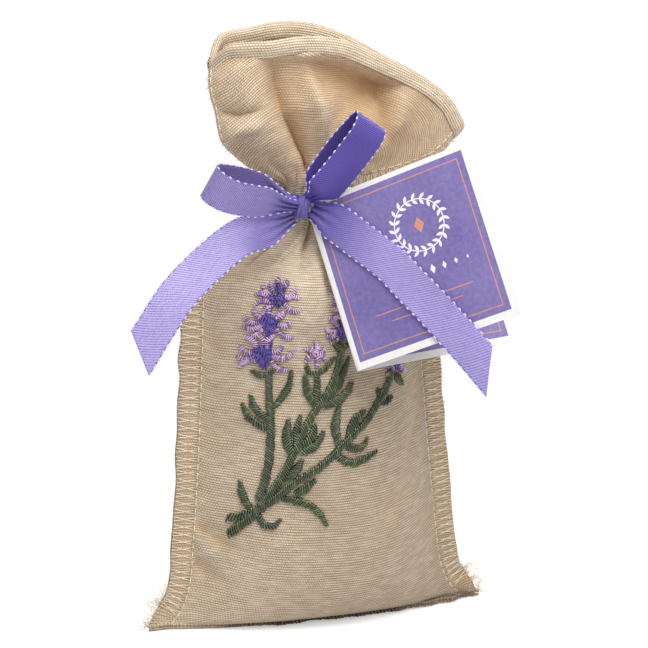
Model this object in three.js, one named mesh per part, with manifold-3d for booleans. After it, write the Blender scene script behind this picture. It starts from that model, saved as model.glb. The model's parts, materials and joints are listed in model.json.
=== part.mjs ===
import * as THREE from "three";
import { mergeVertices } from "three/addons/utils/BufferGeometryUtils.js";
import Module from "manifold-3d";

// A lavender sachet: a cloth bag of dried flowers whose mouth is gathered and
// tied with a satin ribbon, with a folded card tag hanging from the bow.
// Lengths are millimetres. The bag stands on the ground at Z 0, its front
// faces -Y and +X is to the right of someone who looks at the front.

const { Vector3 } = THREE;
const { lerp, smoothstep, clamp, degToRad } = THREE.MathUtils;

// Cloth bag, measured on the stitch lines
const BASE_HALF_WIDTH = 44.5;
const BELLY_FRONT_DEPTH = 20;
const BELLY_BACK_DEPTH = 22;
const TIE_HEIGHT = 121;
const TIE_WIDTH = 9;
const NECK_HALF_WIDTH = 7;
const NECK_HALF_DEPTH = 7;
const NECK_SHIFT = 2.3;
const CLOTH_THICKNESS = 0.6;
const SEAM_ALLOWANCE = 6;
const NECK_ALLOWANCE = 1.2;
const RUFF_ALLOWANCE = 4.5;
const PLEAT_DEPTH = 0.9;
const PLEATS_PER_PANEL = 5;

// Gathered cloth above the tie, a fan drawn about a point under the tie
const RUFF_RADIUS = 58;
const RUFF_CENTRE_DROP = 12;
const RUFF_LEFT_ANGLE = degToRad(-28);
const RUFF_RIGHT_ANGLE = degToRad(56);
const RUFF_BULGE = 15;
const RUFF_BELLY = 10;
const MOUTH_HALF_DEPTH = 9;
const BACK_HEM_RAISE = 4;
const FOLD_DEPTH = 2.4;

// Clearance between two pieces that touch
const GAP = 0.3;

// Sewing thread round the raw edges, and the embroidery
const THREAD_THICKNESS = 0.4;
const STEM_WIDTH = 2;
const STITCH_THICKNESS = 0.9;

// Ribbon bow
const RIBBON_WIDTH = 10;
const RIBBON_THICKNESS = 0.4;
const BAND_WIDTH = 6;
const KNOT_HALF_WIDTH = 4;
const KNOT_HALF_DEPTH = 2.6;
const KNOT_HALF_HEIGHT = 4.6;
const KNOT_REACH = 13.7;
const KNOT_ANGLE = degToRad(-115);
const BAND_TIP_ANGLE = degToRad(-124);
const LOOP_LENGTH = 29;
const LOOP_HALF_OPENING = 3.6;
const LEFT_TAIL_LENGTH = 62;
const RIGHT_TAIL_LENGTH = 74;

// Folded card tag, hung by its top left corner
const TAG_SIDE = 48;
const CARD_THICKNESS = 0.5;
const TAG_HOLE_RADIUS = 1.7;
const TAG_HOLE_INSET = 4.2;
const TAG_TURN = degToRad(10.3);
const TAG_LEAN = degToRad(-22.8);
const TAG_SPREAD = degToRad(41);
const TAG_CORNER_ABOVE_KNOT = 0.2;
const TAG_CORNER_BESIDE_KNOT = 2.6;
const TAG_CORNER_BEHIND_KNOT = 3.1;

// Values that follow from the ones above
const PLY_OFFSET = (CLOTH_THICKNESS + GAP) / 2;
const BACK_PLY_HEIGHT = CLOTH_THICKNESS / 2;
const FRONT_PLY_HEIGHT = BACK_PLY_HEIGHT + 2 * PLY_OFFSET;
const BINDING_OFFSET = PLY_OFFSET + CLOTH_THICKNESS / 2 + GAP + THREAD_THICKNESS / 2;
const EDGE_LIFT = GAP + THREAD_THICKNESS;
const TIE_BOTTOM = TIE_HEIGHT - TIE_WIDTH / 2;
const TIE_TOP = TIE_HEIGHT + TIE_WIDTH / 2;
const NECK_CENTRE = new Vector3(-NECK_SHIFT, 0, TIE_HEIGHT);

const COLOURS = {
  cloth: { color: 0xd9c3a0, roughness: 0.95, metalness: 0 },
  thread: { color: 0xe0cfae, roughness: 0.9, metalness: 0 },
  flowers: { color: 0x7a6f92, roughness: 1, metalness: 0 },
  satin: { color: 0x6a55c0, roughness: 0.4, metalness: 0 },
  card: { color: 0x8672c0, roughness: 0.6, metalness: 0 },
  green: { color: 0x3e5a35, roughness: 0.7, metalness: 0 },
  violet: { color: 0x6d45a8, roughness: 0.6, metalness: 0 },
};

const wasm = await Module();
wasm.setup();

const part = new THREE.Group();
part.name = "lavender_sachet";

function addPiece(name, geometry, look) {
  const closed = mergedPoints(geometry);
  closed.computeVertexNormals();
  const mesh = new THREE.Mesh(closed, new THREE.MeshStandardMaterial(COLOURS[look]));
  mesh.name = name;
  part.add(mesh);
}

// Solids from grids of points

function mergedPoints(geometry) {
  const bare = geometry.clone();
  bare.deleteAttribute("normal");
  bare.deleteAttribute("uv");
  return mergeVertices(bare);
}

function solidFrom(points, faces) {
  const geometry = new THREE.BufferGeometry();
  geometry.setAttribute("position", new THREE.Float32BufferAttribute(points.flatMap((p) => p.toArray()), 3));
  geometry.setIndex(faces.flat());
  return geometry;
}

// Unit normal of a grid cell, and the mean over the cells round a grid point
function cellNormal(grid, row, column) {
  const across = grid[row][column + 1].clone().sub(grid[row + 1][column]);
  const along = grid[row + 1][column + 1].clone().sub(grid[row][column]);
  return across.cross(along).normalize();
}

// A sheet gets a thickness: each grid point moves half of it to both sides,
// and a little further at a crease. A ring closes on its first row.
function sheet(grid, thickness, ring = false) {
  const creaseShare = 0.8;
  const rows = ring ? [...grid, grid[0]] : grid;
  const cells = rows.slice(1).map((_, i) => rows[0].slice(1).map((__, j) => cellNormal(rows, i, j)));
  const points = [];
  for (const face of [1, -1]) {
    grid.forEach((line, i) => line.forEach((point, j) => {
      const near = [];
      for (const a of [i - 1, i]) {
        const row = ring ? (a + cells.length) % cells.length : a;
        for (const column of [j - 1, j]) {
          if (cells[row] && cells[row][column]) near.push(cells[row][column]);
        }
      }
      const mean = near.reduce((sum, n) => sum.add(n), new Vector3()).normalize();
      const least = Math.min(...near.map((n) => n.dot(mean)));
      const reach = (face * thickness) / 2 / Math.max(creaseShare, least);
      points.push(point.clone().addScaledVector(mean, reach));
    }));
  }
  const wide = grid[0].length;
  const tall = grid.length;
  const at = (face, row, column) => face * wide * tall + (row % tall) * wide + column;
  const faces = [];
  const quad = (a, b, c, d) => faces.push([a, b, c], [a, c, d]);
  const last = ring ? tall : tall - 1;
  for (let i = 0; i < last; i += 1) {
    for (let j = 0; j < wide - 1; j += 1) {
      quad(at(0, i, j), at(0, i, j + 1), at(0, i + 1, j + 1), at(0, i + 1, j));
      quad(at(1, i, j), at(1, i + 1, j), at(1, i + 1, j + 1), at(1, i, j + 1));
    }
    quad(at(0, i, 0), at(0, i + 1, 0), at(1, i + 1, 0), at(1, i, 0));
    quad(at(0, i + 1, wide - 1), at(0, i, wide - 1), at(1, i, wide - 1), at(1, i + 1, wide - 1));
  }
  if (!ring) {
    for (let j = 0; j < wide - 1; j += 1) {
      quad(at(0, 0, j + 1), at(0, 0, j), at(1, 0, j), at(1, 0, j + 1));
      quad(at(0, last, j), at(0, last, j + 1), at(1, last, j + 1), at(1, last, j));
    }
  }
  return solidFrom(points, faces);
}

// A solid through closed loops of points, with a point that closes each end
function loft(loops) {
  const middle = (loop) => loop.reduce((sum, p) => sum.add(p), new Vector3()).divideScalar(loop.length);
  const count = loops[0].length;
  const points = [...loops.flat(), middle(loops[0]), middle(loops[loops.length - 1])];
  const faces = [];
  for (let k = 0; k < count; k += 1) {
    const next = (k + 1) % count;
    for (let i = 0; i < loops.length - 1; i += 1) {
      const low = i * count;
      const high = low + count;
      faces.push([low + k, low + next, high + next], [low + k, high + next, high + k]);
    }
    const top = (loops.length - 1) * count;
    faces.push([next, k, points.length - 2], [top + k, top + next, points.length - 1]);
  }
  return solidFrom(points, faces);
}

function toManifold(geometry) {
  const bare = mergedPoints(geometry);
  return new wasm.Manifold(new wasm.Mesh({
    numProp: 3,
    vertProperties: new Float32Array(bare.attributes.position.array),
    triVerts: new Uint32Array(bare.index.array),
  }));
}

function fromManifold(solid) {
  const mesh = solid.getMesh();
  const geometry = new THREE.BufferGeometry();
  geometry.setAttribute("position", new THREE.BufferAttribute(new Float32Array(mesh.vertProperties), 3));
  geometry.setIndex(new THREE.BufferAttribute(new Uint32Array(mesh.triVerts), 1));
  return geometry;
}

function joined(geometries) {
  return fromManifold(wasm.Manifold.union(geometries.map(toManifold)));
}

// Smooth value at a share of the way along a list of [share, value] stations
function along(stations, share) {
  const high = clamp(stations.findIndex((s) => s[0] >= share), 1, stations.length - 1);
  const low = high - 1;
  const slope = (i) => {
    const before = stations[Math.max(i - 1, 0)];
    const after = stations[Math.min(i + 1, stations.length - 1)];
    return (after[1] - before[1]) / (after[0] - before[0]);
  };
  const span = stations[high][0] - stations[low][0];
  const t = clamp((share - stations[low][0]) / span, 0, 1);
  const rest = 1 - t;
  return stations[low][1] * (1 + 2 * t) * rest ** 2 + slope(low) * span * t * rest ** 2
    + stations[high][1] * (1 + 2 * rest) * t ** 2 - slope(high) * span * rest * t ** 2;
}

// Shape of the cloth
// A place is 0 to 1 from the bottom seam up to the tie, and 2 to 3 from the
// tie up to the hem. Across the bag u runs from -1 to 1 between the stitch
// lines. Side -1 is the front panel and side 1 the back panel.

const WIDTH_SHARES = [
  [0, 1], [0.04, 0.92], [0.094, 0.865], [0.18, 0.836], [0.38, 0.787], [0.57, 0.75], [0.8, 0.715], [1, 0.7],
];
const FRONT_SHARES = [
  [0, 0.075], [0.018, 0.2], [0.045, 0.43], [0.09, 0.68], [0.15, 0.86], [0.23, 0.965], [0.33, 1],
  [0.45, 1], [0.57, 0.95], [0.7, 0.86], [0.8, 0.76], [0.9, 0.63], [1, 0.5],
];
const BACK_SHARES = [
  [0, 0.6], [0.022, 0.74], [0.045, 0.84], [0.09, 0.93], [0.15, 0.98], [0.25, 1], [0.4, 0.98],
  [0.57, 0.9], [0.7, 0.8], [0.85, 0.66], [1, 0.5],
];
const TIE_START_SHARE = 0.85;
const SIDE_ROUNDNESS = 2.5;
const MOUTH_SHARES = [[-1, 0], [-0.8, 0.75], [-0.4, 1], [0, 0.75], [0.4, 0.25], [0.7, 0.15], [1, 0]];
const RUFF_FOLDS = [
  { place: -0.42, spread: 0.13, share: 1 },
  { place: -0.12, spread: 0.1, share: -0.8 },
  { place: 0.08, spread: 0.09, share: 0.6 },
  { place: 0.42, spread: 0.14, share: 1 },
];
const RUFF_BEND_SHARE = 0.5;
const RUFF_RISE_SHARE = 0.5;
const RUFF_RIGHT_BULGE_SHARE = 0.5;

function bodyPoint(side, u, place) {
  const tied = smoothstep(place, TIE_START_SHARE, 1);
  const stations = side < 0 ? FRONT_SHARES : BACK_SHARES;
  const belly = side < 0 ? BELLY_FRONT_DEPTH : BELLY_BACK_DEPTH;
  const halfWidth = lerp(BASE_HALF_WIDTH * along(WIDTH_SHARES, place), NECK_HALF_WIDTH, tied);
  const depth = lerp(belly * along(stations, place), NECK_HALF_DEPTH, tied);
  const turn = (u * Math.PI) / 2;
  const bulge = lerp(1 - Math.abs(u) ** SIDE_ROUNDNESS, Math.cos(turn), tied);
  const pleat = PLEAT_DEPTH * 4 * tied * (1 - tied) * Math.cos(PLEATS_PER_PANEL * Math.PI * u) * Math.cos(turn);
  const bottom = side < 0 ? FRONT_PLY_HEIGHT : BACK_PLY_HEIGHT;
  const height = lerp(bottom, TIE_BOTTOM, place);
  return new Vector3(
    halfWidth * lerp(u, Math.sin(turn), tied) - (NECK_SHIFT * height) / TIE_HEIGHT,
    side * (PLY_OFFSET + (depth - PLY_OFFSET) * bulge + pleat),
    height,
  );
}

function ruffPoint(side, u, climb) {
  const start = bodyPoint(side, u, 1);
  start.z = TIE_TOP;
  const angle = lerp(RUFF_LEFT_ANGLE, RUFF_RIGHT_ANGLE, (u + 1) / 2);
  const mouth = along(MOUTH_SHARES, u);
  const radius = RUFF_RADIUS + (side > 0 ? BACK_HEM_RAISE * mouth : 0);
  const end = new Vector3(
    Math.sin(angle) * radius - NECK_SHIFT,
    side * (PLY_OFFSET + MOUTH_HALF_DEPTH * mouth),
    TIE_HEIGHT - RUFF_CENTRE_DROP + Math.cos(angle) * radius,
  );
  const bend = start.clone().lerp(end, RUFF_BEND_SHARE);
  const outward = Math.sign(u) * u ** 2 * RUFF_BULGE * (u > 0 ? RUFF_RIGHT_BULGE_SHARE : 1);
  bend.x += Math.cos(angle) * outward;
  bend.z -= Math.sin(angle) * outward;
  bend.y = side * (PLY_OFFSET + RUFF_BELLY * (1 - u ** 2));
  const rise = start.clone();
  rise.z += TIE_WIDTH * RUFF_RISE_SHARE;
  const point = new THREE.CubicBezierCurve3(start, rise, bend, end).getPoint(climb);
  const lean = Math.sin(Math.PI * climb);
  for (const fold of RUFF_FOLDS) {
    point.y -= side * FOLD_DEPTH * fold.share * lean * Math.exp(-(((u - fold.place) / fold.spread) ** 2));
  }
  return point;
}

function clothPoint(side, u, place) {
  return place <= 1 ? bodyPoint(side, u, place) : ruffPoint(side, u, place - 2);
}

// Width of the seam allowance that stands out beside the stitch line
function allowance(place) {
  if (place <= 1) return lerp(SEAM_ALLOWANCE, NECK_ALLOWANCE, smoothstep(place, TIE_START_SHARE, 1));
  return lerp(NECK_ALLOWANCE, RUFF_ALLOWANCE, smoothstep(place, 2, 2.5));
}

// Direction in which the allowance leaves the stitch line at a side seam
function seamOutward(end, place) {
  if (place === 0 || place === 2) return new Vector3(end, 0, 0);
  const step = 0.01;
  const below = clothPoint(-1, end, place - step);
  const above = clothPoint(-1, end, place === 1 ? 1 : Math.min(place + step, 3));
  const way = above.sub(below).normalize();
  return new Vector3(end * Math.abs(way.z), 0, -end * way.x * Math.sign(way.z));
}

function clothRow(side, columns, place, shape = clothPoint) {
  const row = columns.map((u) => shape(side, u, place));
  const left = row[0].clone().addScaledVector(seamOutward(-1, place), allowance(place));
  const right = row[row.length - 1].clone().addScaledVector(seamOutward(1, place), allowance(place));
  return [left, ...row, right];
}

function evenSteps(from, to, count) {
  return Array.from({ length: count + 1 }, (_, k) => lerp(from, to, k / Math.max(count, 1)));
}

const COLUMNS = evenSteps(-1, 1, 24);
const SHOULDER_PLACES = [0.85, 0.89, 0.92, 0.95, 0.975, 1];
const RUFF_PLACES = [2, 2.07, 2.14, 2.22, 2.32, 2.44, 2.57, 2.7, 2.82, 2.92, 3];
const FRONT_PLACES = [
  0, 0.02, 0.045, 0.09, 0.15, 0.22, 0.3, 0.39, 0.49, 0.59, 0.69, 0.78, ...SHOULDER_PLACES, ...RUFF_PLACES,
];
const BACK_PLACES = [
  0.03, 0.055, 0.09, 0.15, 0.24, 0.36, 0.49, 0.62, 0.74, ...SHOULDER_PLACES, ...RUFF_PLACES,
];

// The bottom allowance is pressed forward on the ground; its edge lies higher
// by the thread that is wound round it.
function bottomAllowance(row) {
  const rampShare = 0.2;
  return [1, rampShare].map((share) => row.map((point) => point.clone().add(
    new Vector3(0, -SEAM_ALLOWANCE * share, EDGE_LIFT),
  )));
}

function frontGrid() {
  const rows = FRONT_PLACES.map((place) => clothRow(-1, COLUMNS, place));
  return [...bottomAllowance(rows[0]), ...rows];
}

// The back panel also makes the floor of the bag, flat but for its corners
const FLOOR_ROWS = 4;
const FLOOR_FLAT_SHARE = 0.8;

function floorPoint(side, u, walk) {
  const first = bodyPoint(1, u, BACK_PLACES[0]);
  const seam = bodyPoint(-1, u, 0);
  const reach = BELLY_BACK_DEPTH * BACK_SHARES[0][1] * (1 - Math.abs(u) ** SIDE_ROUNDNESS);
  const corner = clamp((Math.abs(u) - FLOOR_FLAT_SHARE) / (1 - FLOOR_FLAT_SHARE), 0, 1) ** 2;
  const aside = lerp(seam.y, PLY_OFFSET, Math.min(walk * FLOOR_ROWS, 1));
  return new Vector3(
    lerp(seam.x, first.x, walk),
    lerp(seam.y, PLY_OFFSET + reach, walk) * (1 - corner) + aside * corner,
    lerp(BACK_PLY_HEIGHT, first.z, walk ** 3 * corner),
  );
}

function backGrid() {
  const floor = evenSteps(0, 1, FLOOR_ROWS).slice(0, -1).map((walk) => {
    const row = COLUMNS.map((u) => floorPoint(1, u, walk));
    const ends = [row[0], row[row.length - 1]].map((point, k) => point.clone().add(
      new Vector3((k ? 1 : -1) * SEAM_ALLOWANCE, 0, 0),
    ));
    return [ends[0], ...row, ends[1]];
  });
  const wall = BACK_PLACES.map((place) => clothRow(1, COLUMNS, place));
  return [...bottomAllowance(floor[0]), ...floor, ...wall];
}

addPiece("front_panel", sheet(frontGrid(), CLOTH_THICKNESS), "cloth");
addPiece("back_panel", sheet(backGrid(), CLOTH_THICKNESS), "cloth");

// Dried flowers that fill the bag
function fillingLoops() {
  const inset = CLOTH_THICKNESS / 2 + GAP;
  const sideShare = 0.9;
  const across = evenSteps(-sideShare, sideShare, 14);
  const heights = [0.045, 0.09, 0.15, 0.24, 0.36, 0.49, 0.62, 0.72, 0.8];
  const lift = 2 * inset;
  return heights.map((place) => {
    const front = across.map((u) => bodyPoint(-1, u, place));
    const back = [...across].reverse().map((u) => bodyPoint(1, u, place));
    front.forEach((point) => { point.y += lift; });
    back.forEach((point) => { point.y -= lift; });
    const level = front[0].z;
    return [...front, ...back].map((point) => point.setZ(level));
  });
}

addPiece("flower_filling", loft(fillingLoops()), "flowers");

// Thread wound round a raw edge: a sheet bent round the two plies of cloth
function binding(edges) {
  const nose = 2 * GAP + THREAD_THICKNESS / 2;
  const grid = edges.map(({ point, inward, normal, arm }) => [
    [arm, 1], [0, 1], [-nose, 0.5], [-nose, -0.5], [0, -1], [arm, -1],
  ].map(([depth, level]) => point.clone()
    .addScaledVector(inward, depth)
    .addScaledVector(normal, level * BINDING_OFFSET)));
  return sheet(grid, THREAD_THICKNESS);
}

const SIDE_BINDING_SHARE = 0.6;
const BOTTOM_BINDING_SHARE = 0.45;

function sideBinding(end) {
  const places = [0.06, 0.12, 0.2, 0.3, 0.42, 0.54, 0.66, 0.76, ...SHOULDER_PLACES, ...RUFF_PLACES];
  const edges = places.map((place) => {
    const outward = seamOutward(end, place);
    const front = clothPoint(-1, end, place);
    const point = new Vector3(front.x, 0, front.z).addScaledVector(outward, allowance(place));
    return {
      point,
      inward: outward.clone().negate(),
      normal: new Vector3(0, end, 0),
      arm: allowance(place) * SIDE_BINDING_SHARE,
    };
  });
  return binding(edges);
}

function bottomBinding() {
  const edges = COLUMNS.filter((_, k) => k % 2 === 0).map((u) => {
    const seam = bodyPoint(-1, u, 0);
    const level = (FRONT_PLY_HEIGHT + BACK_PLY_HEIGHT) / 2 + EDGE_LIFT;
    return {
      point: new Vector3(seam.x, seam.y - SEAM_ALLOWANCE, level),
      inward: new Vector3(0, 1, 0),
      normal: new Vector3(0, 0, -1),
      arm: SEAM_ALLOWANCE * BOTTOM_BINDING_SHARE,
    };
  });
  return binding(edges);
}

addPiece("left_seam_thread", sideBinding(-1), "thread");
addPiece("right_seam_thread", sideBinding(1), "thread");
addPiece("bottom_seam_thread", bottomBinding(), "thread");

// Embroidery on the front panel
// A picture point is [x, z] as shares of BASE_HALF_WIDTH and TIE_HEIGHT.

function frontSurface(x, z) {
  const place = (z - FRONT_PLY_HEIGHT) / (TIE_BOTTOM - FRONT_PLY_HEIGHT);
  const centre = -(NECK_SHIFT * z) / TIE_HEIGHT;
  return bodyPoint(-1, (x - centre) / (BASE_HALF_WIDTH * along(WIDTH_SHARES, place)), place);
}

function raised(x, z, height) {
  const step = STITCH_THICKNESS;
  const point = frontSurface(x, z);
  const across = frontSurface(x + step, z).sub(point);
  const up = frontSurface(x, z + step).sub(point);
  return point.addScaledVector(across.cross(up).normalize(), CLOTH_THICKNESS / 2 + GAP + height);
}

function pictureCurve(points) {
  return new THREE.CatmullRomCurve3(points.map(([x, z]) => new Vector3(x * BASE_HALF_WIDTH, 0, z * TIE_HEIGHT)));
}

function stitchedStrip(points, steps, widthAt, thickness, layer = 0) {
  const curve = pictureCurve(points);
  const rows = evenSteps(0, 1, steps).map((t) => {
    const middle = curve.getPoint(t);
    const way = curve.getTangent(t);
    return [-1, 0, 1].map((edge) => raised(
      middle.x + (edge * way.z * widthAt(t)) / 2,
      middle.z - (edge * way.x * widthAt(t)) / 2,
      (1 + layer) * thickness / 2,
    ));
  });
  return sheet(rows, thickness);
}

const STEMS = [
  [[-0.49, 0.33], [-0.436, 0.408], [-0.417, 0.494], [-0.419, 0.582], [-0.416, 0.616]],
  [[-0.648, 0.246], [-0.506, 0.304], [-0.348, 0.397], [-0.228, 0.494], [-0.099, 0.568], [0.016, 0.653]],
  [[-0.651, 0.283], [-0.38, 0.342], [-0.187, 0.4], [0, 0.451], [0.2, 0.516], [0.345, 0.585]],
];
const LEAVES = [
  [[-0.394, 0.551], [-0.32, 0.588], [-0.292, 0.635]],
  [[-0.429, 0.521], [-0.49, 0.54], [-0.519, 0.574]],
  [[-0.43, 0.5], [-0.515, 0.518], [-0.566, 0.553]],
  [[-0.54, 0.311], [-0.573, 0.34], [-0.586, 0.37]],
  [[-0.307, 0.444], [-0.33, 0.482], [-0.315, 0.522]],
  [[-0.273, 0.461], [-0.266, 0.499], [-0.239, 0.53]],
  [[-0.262, 0.446], [-0.15, 0.465], [-0.102, 0.492]],
  [[-0.344, 0.362], [-0.296, 0.397], [-0.244, 0.429]],
  [[-0.139, 0.56], [-0.14, 0.594], [-0.141, 0.62]],
  [[-0.149, 0.552], [-0.194, 0.582], [-0.218, 0.624]],
  [[-0.1, 0.551], [0.008, 0.565], [0.06, 0.585]],
  [[0.006, 0.451], [-0.022, 0.507], [0.004, 0.55]],
  [[0.061, 0.475], [0.11, 0.513], [0.17, 0.53]],
  [[0.03, 0.45], [0.134, 0.445], [0.187, 0.469]],
  [[-0.03, 0.436], [0.11, 0.414], [0.251, 0.434]],
  [[-0.349, 0.338], [-0.176, 0.317], [-0.084, 0.27]],
  [[-0.499, 0.298], [-0.44, 0.273], [-0.37, 0.289]],
];
const LEAF_THICKNESS_SHARE = 0.6;
const STEM_LAYER_SHARE = 0.25;
const LEAF_WIDTH_SHARE = 1.15;

function stemsAndLeaves() {
  const stems = STEMS.map((points, k) => stitchedStrip(
    points, 12, () => STEM_WIDTH, STITCH_THICKNESS * (1 + k * STEM_LAYER_SHARE), 0,
  ));
  const leaves = LEAVES.map((points) => stitchedStrip(
    points, 4,
    (t) => STEM_WIDTH * LEAF_WIDTH_SHARE * (0.45 + 0.55 * Math.sin(Math.PI * Math.min(t + 0.2, 0.95))),
    STITCH_THICKNESS * LEAF_THICKNESS_SHARE, STEM_LAYER_SHARE,
  ));
  return joined([...stems, ...leaves]);
}

addPiece("embroidered_stems", stemsAndLeaves(), "green");

// A whorl of petals: a low mound with a scalloped rim that follows the cloth
function whorl(x, z, radius, layer) {
  const lobes = 5;
  const rim = 2 * lobes;
  const thickness = STITCH_THICKNESS * (1 + layer * STEM_LAYER_SHARE);
  const loops = [0, 1].map((level) => evenSteps(0, 1, rim).slice(0, -1).map((turn, k) => {
    const reach = radius * (k % 2 ? 1 : 0.8);
    const angle = 2 * Math.PI * turn;
    return raised(x + Math.cos(angle) * reach, z + Math.sin(angle) * reach, level * thickness);
  }));
  return loft(loops);
}

function flowerSpike(name, from, to, radius, count) {
  const whorls = evenSteps(0, 1, count - 1).map((t, k) => whorl(
    lerp(from[0], to[0], t) * BASE_HALF_WIDTH,
    lerp(from[1], to[1], t) * TIE_HEIGHT,
    radius * (1 - t / 3),
    k % 3,
  ));
  addPiece(name, joined(whorls), "violet");
}

const SPIKE_RADIUS = 7;
const BUD_RADIUS = 3;
flowerSpike("left_flower_spike", [-0.44, 0.69], [-0.345, 0.8], SPIKE_RADIUS * 0.85, 4);
flowerSpike("flower_bud", [-0.146, 0.67], [-0.146, 0.67], BUD_RADIUS, 1);
flowerSpike("middle_flower_spike", [0.01, 0.72], [0, 0.8], SPIKE_RADIUS * 0.7, 3);
flowerSpike("right_flower_spike", [0.4, 0.635], [0.44, 0.69], SPIKE_RADIUS * 0.6, 3);

// Ribbon band round the neck, drawn out to the knot where it is tied
const KNOT_CENTRE = NECK_CENTRE.clone().add(new Vector3(
  Math.cos(KNOT_ANGLE) * KNOT_REACH, Math.sin(KNOT_ANGLE) * KNOT_REACH, 0,
));

function neckBand() {
  const flangeTip = NECK_HALF_WIDTH + NECK_ALLOWANCE + GAP + THREAD_THICKNESS;
  const clear = CLOTH_THICKNESS / 2 + GAP + RIBBON_THICKNESS / 2;
  const halfWidth = flangeTip + clear;
  const halfDepth = NECK_HALF_DEPTH + clear;
  const pullSpread = 0.17;
  const tip = KNOT_REACH - KNOT_HALF_DEPTH - GAP - RIBBON_THICKNESS / 2;
  const stations = 44;
  const grid = evenSteps(0, 2 * Math.PI, stations).slice(0, -1).map((turn) => {
    const angle = BAND_TIP_ANGLE + turn;
    const oval = 1 / Math.hypot(Math.cos(angle) / halfWidth, Math.sin(angle) / halfDepth);
    const apart = Math.min(turn, 2 * Math.PI - turn);
    const radius = lerp(oval, Math.max(tip, oval), Math.exp(-((apart / pullSpread) ** 2)));
    return [-1, 1].map((edge) => NECK_CENTRE.clone().add(new Vector3(
      Math.cos(angle) * radius, Math.sin(angle) * radius, (edge * BAND_WIDTH) / 2,
    )));
  });
  return sheet(grid, RIBBON_THICKNESS, true);
}

addPiece("ribbon_neck_band", neckBand(), "satin");

// The knot: a small cushion that faces away from the neck
function knot() {
  const squareness = 0.75;
  const ball = new THREE.SphereGeometry(1, 16, 10);
  const place = ball.attributes.position;
  const swell = (value) => Math.sign(value) * Math.abs(value) ** squareness;
  for (let k = 0; k < place.count; k += 1) {
    place.setXYZ(
      k,
      swell(place.getX(k)) * KNOT_HALF_WIDTH,
      swell(place.getY(k)) * KNOT_HALF_HEIGHT,
      swell(place.getZ(k)) * KNOT_HALF_DEPTH,
    );
  }
  ball.rotateX(Math.PI / 2);
  ball.rotateZ(KNOT_ANGLE + Math.PI / 2);
  ball.translate(...KNOT_CENTRE.toArray());
  return ball;
}

addPiece("ribbon_knot", knot(), "satin");

// A loop of the bow leaves the knot, turns round at its end and comes back.
// The ribbon is pinched to a part of its width at the knot.
const PINCH_SHARE = 0.5;
const LAYER_OFFSET = (RIBBON_THICKNESS + GAP) / 2 + RIBBON_THICKNESS / 4;

function bowLoop(way, opening, knotReach) {
  const ahead = way.clone().normalize();
  const width = opening.clone().cross(ahead).normalize();
  const open = ahead.clone().cross(width);
  const root = KNOT_CENTRE.clone().addScaledVector(ahead, knotReach + GAP);
  const length = LOOP_LENGTH - KNOT_HALF_WIDTH;
  const grid = evenSteps(0, 1, 26).map((t) => {
    const reach = Math.sin(Math.PI * t);
    const spread = LOOP_HALF_OPENING * Math.sin(2 * Math.PI * t) + LAYER_OFFSET * Math.cos(Math.PI * t);
    const half = (RIBBON_WIDTH / 2) * lerp(PINCH_SHARE, 1, smoothstep(reach, 0, 0.5));
    return [-1, 0, 1].map((edge) => root.clone()
      .addScaledVector(ahead, length * reach)
      .addScaledVector(open, spread)
      .addScaledVector(width, edge * half));
  });
  return sheet(grid, RIBBON_THICKNESS);
}

const LEFT_LOOP_WAY = new Vector3(-0.94, -0.2, 0.27);
const RIGHT_LOOP_WAY = new Vector3(0.55, -0.3, 0.78);
addPiece("ribbon_left_loop", bowLoop(LEFT_LOOP_WAY, new Vector3(0, 0.85, 0.5), KNOT_HALF_WIDTH), "satin");
addPiece("ribbon_right_loop", bowLoop(RIGHT_LOOP_WAY, new Vector3(-0.2, 1, 0.3), KNOT_HALF_HEIGHT + GAP), "satin");

// A tail of the bow follows a curve and is cut off at a slant. The width lies
// square to the way the tail faces.
function tail(points, facing, cutShare) {
  const curve = new THREE.CatmullRomCurve3(points);
  const grid = evenSteps(0, 1, 16).map((t) => [-1, 0, 1].map((edge) => {
    const end = t * (1 - (cutShare * (1 - edge)) / 2);
    const width = curve.getTangent(end).cross(facing).normalize();
    const half = (RIBBON_WIDTH / 2) * lerp(PINCH_SHARE, 1, smoothstep(t, 0, 0.18));
    return curve.getPoint(end).addScaledVector(width, edge * half);
  }));
  return sheet(grid, RIBBON_THICKNESS);
}

const LEFT_TAIL_SHARES = [
  [-0.068, 0.016, -0.058], [-0.153, 0.002, -0.088], [-0.294, -0.035, -0.118], [-0.44, -0.065, -0.213],
  [-0.594, -0.11, -0.344], [-0.698, -0.123, -0.484], [-0.8, -0.123, -0.64],
];

function leftTail() {
  const points = LEFT_TAIL_SHARES.map((share) => KNOT_CENTRE.clone()
    .add(new Vector3(...share).multiplyScalar(LEFT_TAIL_LENGTH)));
  return tail(points, new Vector3(-0.25, -1, 0.1), 0.12);
}

addPiece("ribbon_left_tail", leftTail(), "satin");

// Frame of the tag: down runs along its spine, across along each leaf
const LEAN_TURN = new THREE.Matrix4().makeRotationX(TAG_LEAN);
const TAG_DOWN = new Vector3(Math.sin(TAG_TURN), 0, -Math.cos(TAG_TURN)).applyMatrix4(LEAN_TURN);
const BACK_ACROSS = new Vector3(Math.cos(TAG_TURN), 0, Math.sin(TAG_TURN)).applyMatrix4(LEAN_TURN);
const BACK_FACING = TAG_DOWN.clone().cross(BACK_ACROSS);
const FRONT_ACROSS = BACK_ACROSS.clone().multiplyScalar(Math.cos(TAG_SPREAD))
  .addScaledVector(BACK_FACING, Math.sin(TAG_SPREAD));
const FRONT_FACING = TAG_DOWN.clone().cross(FRONT_ACROSS);
const TAG_CORNER = KNOT_CENTRE.clone().add(
  new Vector3(TAG_CORNER_BESIDE_KNOT, TAG_CORNER_BEHIND_KNOT, TAG_CORNER_ABOVE_KNOT),
);
const LEAF_OFFSET = (CARD_THICKNESS + GAP) / 2;

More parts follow.
